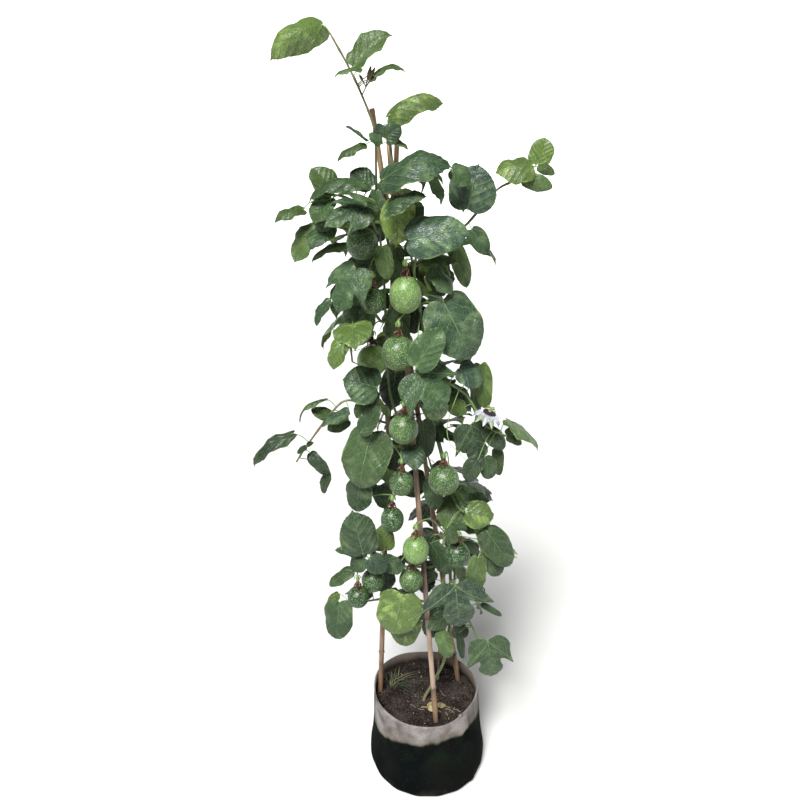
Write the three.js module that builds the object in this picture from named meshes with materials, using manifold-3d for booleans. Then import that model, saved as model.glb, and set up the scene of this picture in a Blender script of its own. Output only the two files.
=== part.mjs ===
// A passion flower vine on three leaning canes, rooted in a felt grow bag. Millimetres, +Z up.
// The origin is on the floor under the middle of the bag's rim, and -Y is the front.
import * as THREE from "three";
import Module from "manifold-3d";

const wasm = await Module();
wasm.setup();

// ---- Driving dimensions ----
const RIM_RADIUS = 125;
const BAG_HEIGHT = 207;
const BULGE = 10; // how far the bag's side swells past its rim, low down
const SLUMP = 7; // how far the bag has settled to the right, at its foot
const FELT = 3;
const SOIL_TOP = 178;
const SOIL_FIT = 1.2; // the felt hangs a little slack round the soil
const FIT = 0.4; // gap between pieces that touch
const CANE_RADIUS = 6;
const CANE_FOOT = 75; // height of a cane's foot, deep in the soil
const TIE_HEIGHT = 1352;
const PETIOLE_RADIUS = 1.4;
const SHOOT_RADIUS = 2.6; // at a shoot's foot
const LONG_PETIOLE = 45; // a longer one bows upwards
const BLADE_THICKNESS = 1.4;
const CLEAR = 8; // room kept between the leaves of one shoot and the next
const SEED = 15013;

// ---- Setting out ----
// Leaves and fruits are set out as someone standing in front sees them: a place is an x and a z
// on an upright plane at the front of the plant, and a depth y along that person's line of sight.
const EYE = new THREE.Vector3(-60, -1286, 1407);
const FRONT = -80;
const UP = new THREE.Vector3(0, 0, 1);
const TOWARDS_LIGHT = new THREE.Vector3(0, -0.8, 0.6);

const point = (x, y, z) => new THREE.Vector3(x, y, z);

function sight(x, z, y) {
  const reach = (y - EYE.y) / (FRONT - EYE.y);
  return point(EYE.x + (x - EYE.x) * reach, y, EYE.z + (z - EYE.z) * reach);
}

let state = SEED;
function draw(low, high) {
  state = (state * 16807) % 2147483647;
  return low + ((high - low) * state) / 2147483647;
}

// ---- Closed surfaces ----
// Rings of equal length become one closed skin. Each ring runs counter-clockwise about the way
// forward, and both faces of a flat ring are split alike. A vertex that a ring names twice is one
// corner, and a ring of one vertex is a point.
function skin(rings, loop = false) {
  const vertices = [...new Set(rings.flat())];
  const index = new Map(vertices.map((vertex, i) => [vertex, i]));
  const faces = [];
  const face = (...corners) => {
    if (new Set(corners).size === 3) {
      faces.push(...corners.map((corner) => index.get(corner)));
    }
  };
  const spans = loop ? rings.length : rings.length - 1;
  for (let span = 0; span < spans; span += 1) {
    bridge(face, rings[span], rings[(span + 1) % rings.length]);
  }
  if (!loop) {
    const [first, last] = [rings[0], rings.at(-1)];
    first.slice(1, -1).forEach((corner, i) => face(first[0], first[i + 2], corner));
    last.slice(1, -1).forEach((corner, i) => face(last[0], corner, last[i + 2]));
  }
  const geometry = new THREE.BufferGeometry();
  geometry.setFromPoints(vertices);
  geometry.setIndex(faces);
  return geometry;
}

function bridge(face, low, high) {
  const count = Math.max(low.length, high.length);
  for (let i = 0; i < count; i += 1) {
    const j = (i + 1) % count;
    const [a, b] = [low[i] ?? low[0], low[j] ?? low[0]];
    const [c, d] = [high[i] ?? high[0], high[j] ?? high[0]];
    if (i % 2 === 0) {
      face(a, b, c);
      face(b, d, c);
    } else {
      face(a, b, d);
      face(a, d, c);
    }
  }
}

// A round ring of a stem or cane, square to the way forward.
function roundRing(centre, forward, radius, sides) {
  const turn = new THREE.Quaternion().setFromUnitVectors(UP, forward);
  return Array.from({ length: sides }, (_, i) => {
    const angle = (2 * Math.PI * i) / sides;
    const corner = point(radius * Math.cos(angle), radius * Math.sin(angle), 0);
    return corner.applyQuaternion(turn).add(centre);
  });
}

// The way forward at each of a run of points.
function headings(points) {
  return points.map((_, i) => {
    const before = points[Math.max(i - 1, 0)];
    const after = points[Math.min(i + 1, points.length - 1)];
    return after.clone().sub(before).normalize();
  });
}

function rod(points, radii, sides) {
  const ways = headings(points);
  const radius = (i) => (Array.isArray(radii) ? radii[i] : radii);
  return skin(points.map((at, i) => roundRing(at, ways[i], radius(i), sides)));
}

function solid(geometry) {
  return new wasm.Manifold(
    new wasm.Mesh({
      numProp: 3,
      vertProperties: Float32Array.from(geometry.getAttribute("position").array),
      triVerts: Uint32Array.from(geometry.getIndex().array),
    }),
  );
}

function surface(body) {
  const mesh = body.getMesh();
  const geometry = new THREE.BufferGeometry();
  geometry.setAttribute("position", new THREE.Float32BufferAttribute(mesh.vertProperties, 3));
  geometry.setIndex(Array.from(mesh.triVerts));
  return geometry;
}

const joined = (geometries) => surface(wasm.Manifold.union(geometries.map(solid)));

// ---- Nodes ----
const vine = new THREE.Group();

function node(name, geometry, colour, roughness) {
  const material = new THREE.MeshStandardMaterial({ color: colour, roughness, metalness: 0 });
  const mesh = new THREE.Mesh(geometry, material);
  mesh.name = name;
  vine.add(mesh);
}

// ---- Grow bag and soil ----
// The bag is one sewn felt sack. It swells low down, leans a little to the right and its rim waves.
const BAG_SIDES = 24;
const BAG_ANGLES = Array.from({ length: BAG_SIDES }, (_, i) => (2 * Math.PI * i) / BAG_SIDES);

const sag = (angle) => 1.8 * Math.sin(3 * angle + 0.6) + 1.2 * Math.sin(5 * angle + 2);
const rimWave = (angle) => 2 * Math.sin(2 * angle + 1) + 1.2 * Math.sin(7 * angle);

function bagPoint(angle, radius, height) {
  const share = Math.min(height / BAG_HEIGHT, 1);
  const r = radius + (radius > RIM_RADIUS / 2 ? sag(angle) * share : 0);
  const x = r * Math.cos(angle) + SLUMP * (1 - share ** 2);
  return point(x, r * Math.sin(angle), height + rimWave(angle) * share ** 6);
}

const bagRing = ([radius, height]) => BAG_ANGLES.map((angle) => bagPoint(angle, radius, height));

// The bag's outer side from the foot's rounded edge up, as radius and height.
const FOOT_RADIUS = 118;
const SIDE = [
  [FOOT_RADIUS, 0],
  [FOOT_RADIUS + 15, 6],
  [FOOT_RADIUS + 22, 24],
  [RIM_RADIUS + BULGE, 75],
  [RIM_RADIUS + BULGE / 2, 125],
  [RIM_RADIUS + BULGE / 4, 170],
  [RIM_RADIUS, BAG_HEIGHT],
];
// The lining follows the side one felt thickness in. The soil fills it up to the top's edge.
const LINING = SIDE.filter((_, i) => i !== 1 && i !== 4).map(([radius, height]) => [
  radius - FELT,
  Math.max(height, FELT),
]);

function growBag() {
  const rings = [...SIDE, ...LINING.toReversed()].map(bagRing);
  return skin([[point(0, 0, 0)], ...rings, [point(0, 0, FELT)]]);
}

// A ring of the soil's top, which is crumbly and a little uneven.
function crumbRing(radius) {
  return BAG_ANGLES.map((angle) =>
    point(radius * Math.cos(angle), radius * Math.sin(angle), SOIL_TOP + draw(-1.6, 1.6)),
  );
}

// The soil fills the bag and keeps a plain hole for whatever stands in it.
function soilFill(standing) {
  const wall = LINING.filter(([, height]) => height < SOIL_TOP);
  const sides = wall.map(([radius, height]) => [radius - SOIL_FIT, Math.max(height, FELT + FIT)]);
  sides.push([RIM_RADIUS - FELT + 0.6, SOIL_TOP - 1]);
  const rings = [...sides.map(bagRing), ...[100, 66, 33].map(crumbRing)];
  const whole = skin([[point(0, 0, FELT + FIT)], ...rings, [point(0, 0, SOIL_TOP + 1)]]);
  return surface(standing.reduce((left, hole) => left.subtract(solid(hole)), solid(whole)));
}

// ---- Canes and their tie ----
// Three canes stand in the soil and lean together near their tops. Each is a foot and a tip.
const CANES = {
  cane_front: { foot: [24, -79, 175], tip: [-80, -14, 1440], joints: [205, 530, 830, 1130] },
  cane_left: { foot: [-108, 13, 175], tip: [-65, 2, 1457], joints: [300, 620, 930, 1230] },
  cane_right: { foot: [86, 53, 175], tip: [-110, 16, 1494], joints: [260, 590, 900, 1210] },
};
const CANE_COLOURS = { cane_front: "#a08878", cane_left: "#9c6c50", cane_right: "#bb966a" };

function alongCane(cane, height) {
  const foot = point(...cane.foot);
  const tip = point(...cane.tip);
  return foot.lerp(tip, (height - foot.z) / (tip.z - foot.z));
}

const caneRadius = (height) => CANE_RADIUS - (1.2 * height) / 1500;

// A cane is a tapered pole with a swollen ring at each of its joints.
function caneRod(cane) {
  const stations = [[CANE_FOOT, 0]];
  for (const joint of cane.joints) {
    stations.push([joint - 5, 0], [joint, 1.1], [joint + 4, 0]);
  }
  stations.push([cane.tip[2], 0]);
  const points = stations.map(([height]) => alongCane(cane, height));
  const radii = stations.map(([height, extra]) => caneRadius(height) + extra);
  return rod(points, radii, 7);
}

function caneHole(cane) {
  const points = [CANE_FOOT - 2, SOIL_TOP + 20].map((height) => alongCane(cane, height));
  return rod(points, CANE_RADIUS + 3 * FIT, 8);
}

// The tie is a few turns of twine round all three canes, drawn as one band.
const TIE_STEPS = 18;
const TWINE = 2.4;
const TIE_HALF = 5;

function round(canes, angle, height, off) {
  const way = point(Math.cos(angle), Math.sin(angle), 0);
  const centres = canes.map((cane) => alongCane(cane, height));
  centres.sort((a, b) => b.dot(way) - a.dot(way));
  const out = caneRadius(height) + FIT + off;
  return centres[0].setZ(height).addScaledVector(way, out);
}

function tie() {
  const canes = Object.values(CANES);
  const rings = Array.from({ length: TIE_STEPS }, (_, i) => {
    const angle = (2 * Math.PI * i) / TIE_STEPS;
    const low = TIE_HEIGHT - TIE_HALF;
    const high = TIE_HEIGHT + TIE_HALF;
    return [
      round(canes, angle, low, TWINE),
      round(canes, angle, low, 0.2),
      round(canes, angle, high, 0.2),
      round(canes, angle, high, TWINE),
    ];
  });
  return skin(rings, true);
}

// ---- Climbing stems ----
// Two woody stems leave the soil and wind up between the canes. The green one forks low down.
const STEM_RADIUS = 3.6;
const BROWN_RADIUS = 2.8;
const FORK_RADIUS = 2.8;

const STEMS = {
  green: [
    point(-2, -15, 120),
    point(-2, -15, 180),
    point(22, -17, 240),
    point(48, -10, 310),
    point(56, 2, 430),
    point(52, 8, 580),
    point(42, 10, 750),
    point(5, 10, 900),
    point(-35, 0, 1050),
    point(-62, -8, 1180),
    point(-82, -11, 1260),
    point(-95, -12, 1330),
  ],
  brown: [
    point(36, 55, 120),
    point(36, 55, 180),
    point(38, 40, 300),
    point(62, 26, 420),
    point(66, 24, 560),
    point(60, 16, 700),
    point(22, 22, 850),
    point(2, -8, 980),
    point(-14, -32, 1090),
    point(-36, -48, 1220),
    point(-52, -52, 1330),
  ],
  fork: [
    point(43, 9, 735),
    point(14, -12, 775),
    point(-42, -6, 860),
    point(-78, -25, 960),
    point(-86, -38, 1080),
    point(-90, -42, 1200),
    point(-98, -38, 1290),
  ],
};
const STEM_RADII = { green: STEM_RADIUS, brown: BROWN_RADIUS, fork: FORK_RADIUS };

function onStem(points, height) {
  const above = points.findIndex((at) => at.z > height);
  const low = points[above - 1];
  const high = points[above];
  return low.clone().lerp(high, (height - low.z) / (high.z - low.z));
}

function stemHole(points, radius) {
  const foot = points[0].clone().setZ(points[0].z - 2);
  const buried = points.slice(1).filter((at) => at.z < SOIL_TOP + 12);
  return rod([foot, ...buried, onStem(points, SOIL_TOP + 12)], radius + 1, 8);
}

// ---- One leaf ----
// A leaf is drawn flat first, from its base at 0 to its tip at 1 and to 1 at its widest half.
// Every ring takes one point on the midrib and one on the edge, which is mirrored.
const OUTLINES = {
  small: { ribs: [0.15, 0.6], edges: [[0.92, 0.1], [0.96, 0.56]] },
  oval: { ribs: [0.04, 0.22, 0.48, 0.77], edges: [[0.5, -0.05], [0.98, 0.16], [1, 0.5], [0.66, 0.8]] },
  lobed: {
    ribs: [0.03, 0.15, 0.26, 0.37, 0.52, 0.77],
    edges: [[0.46, -0.07], [0.9, 0.14], [1, 0.6], [0.44, 0.47], [0.54, 0.66], [0.32, 0.87]],
  },
  deep: {
    ribs: [0.03, 0.14, 0.22, 0.31, 0.5, 0.76],
    edges: [[0.36, -0.06], [0.72, 0.14], [1, 0.56], [0.34, 0.35], [0.44, 0.62], [0.28, 0.86]],
  },
};
const ENVELOPES = {
  small: [[0, 0.5], [0.1, 0.92], [0.56, 0.96], [1, 0]],
  oval: [[0, 0.5], [0.16, 0.96], [0.5, 0.98], [0.8, 0.62], [1, 0]],
  lobed: [[0, 0.5], [0.2, 0.84], [0.6, 0.96], [0.66, 0.52], [0.86, 0.3], [1, 0]],
  deep: [[0, 0.4], [0.2, 0.78], [0.56, 0.96], [0.62, 0.44], [0.86, 0.26], [1, 0]],
};

// The leaf's own directions: forward to the tip, up out of its upper face, and sideways.
function stance(leaf) {
  const forward = leaf.tip.clone().sub(leaf.base);
  const length = forward.length();
  forward.normalize();
  const up = leaf.light.clone().addScaledVector(forward, -leaf.light.dot(forward)).normalize();
  up.applyAxisAngle(forward, THREE.MathUtils.degToRad(leaf.roll));
  const side = up.clone().cross(forward);
  return { forward, up, side, length };
}

// Where a spot of the flat leaf lies once the blade is arched along and folded across its midrib.
function bladePoint(leaf, pose, across, along, lift) {
  const fold = THREE.MathUtils.degToRad(leaf.fold);
  const half = (across * leaf.wide) / 2;
  const rise = 4 * leaf.arch * pose.length * along * (1 - along);
  return leaf.base
    .clone()
    .addScaledVector(pose.forward, along * pose.length)
    .addScaledVector(pose.side, half * Math.cos(fold))
    .addScaledVector(pose.up, rise + Math.abs(half) * Math.sin(fold) + lift);
}

function petiolePath(leaf) {
  const bow = leaf.root.distanceTo(leaf.base) * 0.12;
  const middle = leaf.root.clone().lerp(leaf.base, 0.5).addScaledVector(UP, bow);
  return [leaf.root, middle, leaf.base];
}

// A petiole's ring has three corners: right and left above, and one below.
function petioleRing(centre, forward, pose, radius) {
  const turn = new THREE.Quaternion().setFromUnitVectors(pose.forward, forward);
  const side = pose.side.clone().applyQuaternion(turn).multiplyScalar(radius * 0.87);
  const up = pose.up.clone().applyQuaternion(turn).multiplyScalar(radius * 0.5);
  const right = centre.clone().add(side).add(up);
  const left = centre.clone().sub(side).add(up);
  const below = centre.clone().addScaledVector(up, -2);
  return [right, right, left, below];
}

function leafSkin(leaf) {
  const pose = stance(leaf);
  const { ribs, edges } = OUTLINES[leaf.kind];
  const [root, middle, base] = petiolePath(leaf);
  const firstWay = middle.clone().sub(root).normalize();
  const lastWay = base.clone().sub(middle).normalize().add(pose.forward).normalize();
  const rings = [
    petioleRing(root, firstWay, pose, PETIOLE_RADIUS * 0.8),
    petioleRing(base, lastWay, pose, PETIOLE_RADIUS),
  ];
  if (root.distanceTo(base) > LONG_PETIOLE) {
    rings.splice(1, 0, petioleRing(middle, base.clone().sub(root).normalize(), pose, PETIOLE_RADIUS));
  }
  ribs.forEach((along, i) => {
    const [across, edgeAlong] = edges[i];
    const half = (BLADE_THICKNESS / 2) * (1 - 0.4 * along);
    rings.push([
      bladePoint(leaf, pose, across, edgeAlong, 0),
      bladePoint(leaf, pose, 0, along, half),
      bladePoint(leaf, pose, -across, edgeAlong, 0),
      bladePoint(leaf, pose, 0, along, -half),
    ]);
  });
  rings.push([bladePoint(leaf, pose, 0, 1, 0)]);
  return skin(rings);
}

// ---- Keeping the shoots clear of each other ----
const STEP = 10; // spacing of the spots that are tested on a blade
const ROOT_SKIP = 2; // a stalk's own root isn't tested
const BASE_SKIP = 12; // nor is a blade beside its own stalk
const POLE_ROOM = 4.5; // room kept from canes and climbing stems
const BALL_ROOM = 5; // room kept from fruits and the flower
const groups = []; // spots of every stem, stalk and leaf that is already in place
const balls = []; // fruits and the flower
const poles = []; // canes and climbing stems

function halfWidth(kind, along) {
  const rows = ENVELOPES[kind];
  const next = Math.max(rows.findIndex(([at]) => at >= along), 1);
  const [a, wideA] = rows[next - 1];
  const [b, wideB] = rows[next];
  return wideA + ((wideB - wideA) * (along - a)) / (b - a);
}

function bladeSpots(leaf) {
  const pose = stance(leaf);
  const spots = [];
  const steps = Math.ceil(pose.length / STEP);
  for (let i = 0; i <= steps; i += 1) {
    const along = i / steps;
    const reach = halfWidth(leaf.kind, along);
    const columns = Math.ceil((reach * leaf.wide) / 2 / STEP);
    for (let j = -columns; j <= columns; j += 1) {
      const across = columns ? (reach * j) / columns : 0;
      spots.push(bladePoint(leaf, pose, across, along, 0));
    }
  }
  return spots;
}

function pathSpots(path, skip) {
  const spots = [];
  for (let i = 0; i + 1 < path.length; i += 1) {
    const span = path[i].distanceTo(path[i + 1]);
    const steps = Math.ceil(span / 6);
    for (let j = 0; j < steps; j += 1) {
      spots.push(path[i].clone().lerp(path[i + 1], j / steps));
    }
  }
  return spots.filter((spot) => spot.distanceTo(path[0]) > skip);
}

function groupOf(owner, part, spots) {
  const ball = new THREE.Sphere().setFromPoints(spots);
  return { owner, part, spots, centre: ball.center, radius: ball.radius };
}

function nearPole(spot, pole) {
  const line = new THREE.Line3(pole.from, pole.to);
  return line.closestPointToPoint(spot, true, new THREE.Vector3()).distanceTo(spot) < pole.radius + POLE_ROOM;
}

function touches(group, other) {
  const kin = group.owner === other.owner;
  const room = kin ? CLEAR * 0.6 : CLEAR;
  if (kin && group.part !== "blade" && other.part !== "blade") {
    return false;
  }
  if (group.centre.distanceTo(other.centre) > group.radius + other.radius + room) {
    return false;
  }
  return group.spots.some((spot) => other.spots.some((mark) => spot.distanceTo(mark) < room));
}

function isClear(group) {
  if (groups.some((other) => touches(group, other))) {
    return false;
  }
  const isNear = (spot) =>
    balls.some((ball) => spot.distanceTo(ball.centre) < ball.radius + BALL_ROOM) ||
    poles.some((pole) => nearPole(spot, pole));
  return !group.spots.some(isNear);
}

// Seen from the front, a leaf that is set by rule hides no fruit and not the flower.
function hides(spots) {
  const seen = (at) => at.clone().sub(EYE).divideScalar(at.y - EYE.y);
  return balls.some((ball) => {
    const mark = seen(ball.centre);
    const room = ball.radius / (ball.centre.y - EYE.y);
    return spots.some((spot) => spot.y < ball.centre.y && seen(spot).distanceTo(mark) < room);
  });
}

// ---- Fruits ----
// Place x, z and y of the fruit's middle, its breadth and height, and the shoot that it hangs from.
const FRUITS = [
  [-127, 1268, -72, 58, 58, "left_high"],
  [-110, 1165, -88, 47, 49, "left_mid"],
  [-50, 1176, -88, 59, 68, "centre"],
  [-63, 1066, -88, 64, 66, "centre"],
  [-112, 1052, -45, 58, 60, "left_mid"],
  [-53, 913, -86, 58, 60, "right_mid"],
  [8, 958, -92, 50, 52, "right_mid"],
  [-57, 795, -82, 50, 52, "mid_low"],
  [28, 802, -88, 62, 62, "right_low"],
  [-76, 712, -80, 48, 53, "mid_low"],
  [-27, 640, -98, 55, 62, "left_low"],
  [-36, 566, -74, 51, 54, "left_low"],
  [60, 628, -78, 53, 55, "right_low"],
  [-150, 523, -106, 46, 48, "left_low"],
  [-117, 565, -84, 50, 50, "left_low"],
];
const FRUIT_COLOURS = ["#4f7d48", "#4a7550", "#8fb878", "#6c9a62", "#8fa85a", "#5d8f5c", "#5c7f44"];
const WITHERED_HEIGHT = 17;
const CUP_HEIGHT = 12;

function setOut([x, z, y, breadth, height, shoot]) {
  const scale = (y - EYE.y) / (FRONT - EYE.y);
  return { centre: sight(x, z, y), a: (breadth * scale) / 2, b: (height * scale) / 2, shoot };
}

const fruits = FRUITS.map(setOut);

function fruitBody({ centre, a, b }) {
  const rows = 6;
  const sides = 8;
  const rings = Array.from({ length: rows + 1 }, (_, i) => {
    const angle = (Math.PI * i) / rows - Math.PI / 2;
    const at = centre.clone().addScaledVector(UP, b * Math.sin(angle));
    return i % rows === 0 ? [at] : roundRing(at, UP, a * Math.cos(angle), sides);
  });
  return skin(rings);
}

// The withered flower sits on the fruit's crown: a thin bell with three tips that hang over it.
function witheredFlower({ centre, a, b }) {
  const crown = b + FIT;
  const shoulder = (reach) => b * Math.sqrt(1 - (reach / a) ** 2);
  const ring = (reachOf, heightOf) =>
    Array.from({ length: 6 }, (_, i) => {
      const angle = (Math.PI / 3) * i + 0.5;
      const reach = reachOf(i % 2 === 0);
      return centre.clone().add(point(reach * Math.cos(angle), reach * Math.sin(angle), heightOf(reach)));
    });
  return skin([
    [centre.clone().setZ(centre.z + crown)],
    ring(() => 4.5, () => crown + 8.5),
    ring((tip) => (tip ? 12 : 7), (reach) => shoulder(reach) + (reach > 10 ? 2.4 : 7)),
    ring(() => 6.5, () => crown + 10),
    ring(() => 2.6, () => b + WITHERED_HEIGHT),
  ]);
}

// A green cup holds the withered flower and hangs on a stalk from the shoot.
function fruitStalk({ centre, b }, stem) {
  const cup = centre.clone().addScaledVector(UP, b + WITHERED_HEIGHT + FIT);
  const neck = cup.clone().addScaledVector(UP, CUP_HEIGHT);
  const root = nearest(stem, neck);
  const middle = neck.clone().lerp(root, 0.45);
  middle.z = Math.max(neck.z, root.z) * 0.6 + middle.z * 0.4;
  const swell = cup.clone().lerp(neck, 0.5);
  return { path: [root, middle, neck, swell, cup], radii: [1.5, 1.5, 1.8, 4.4, 3] };
}

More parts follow.
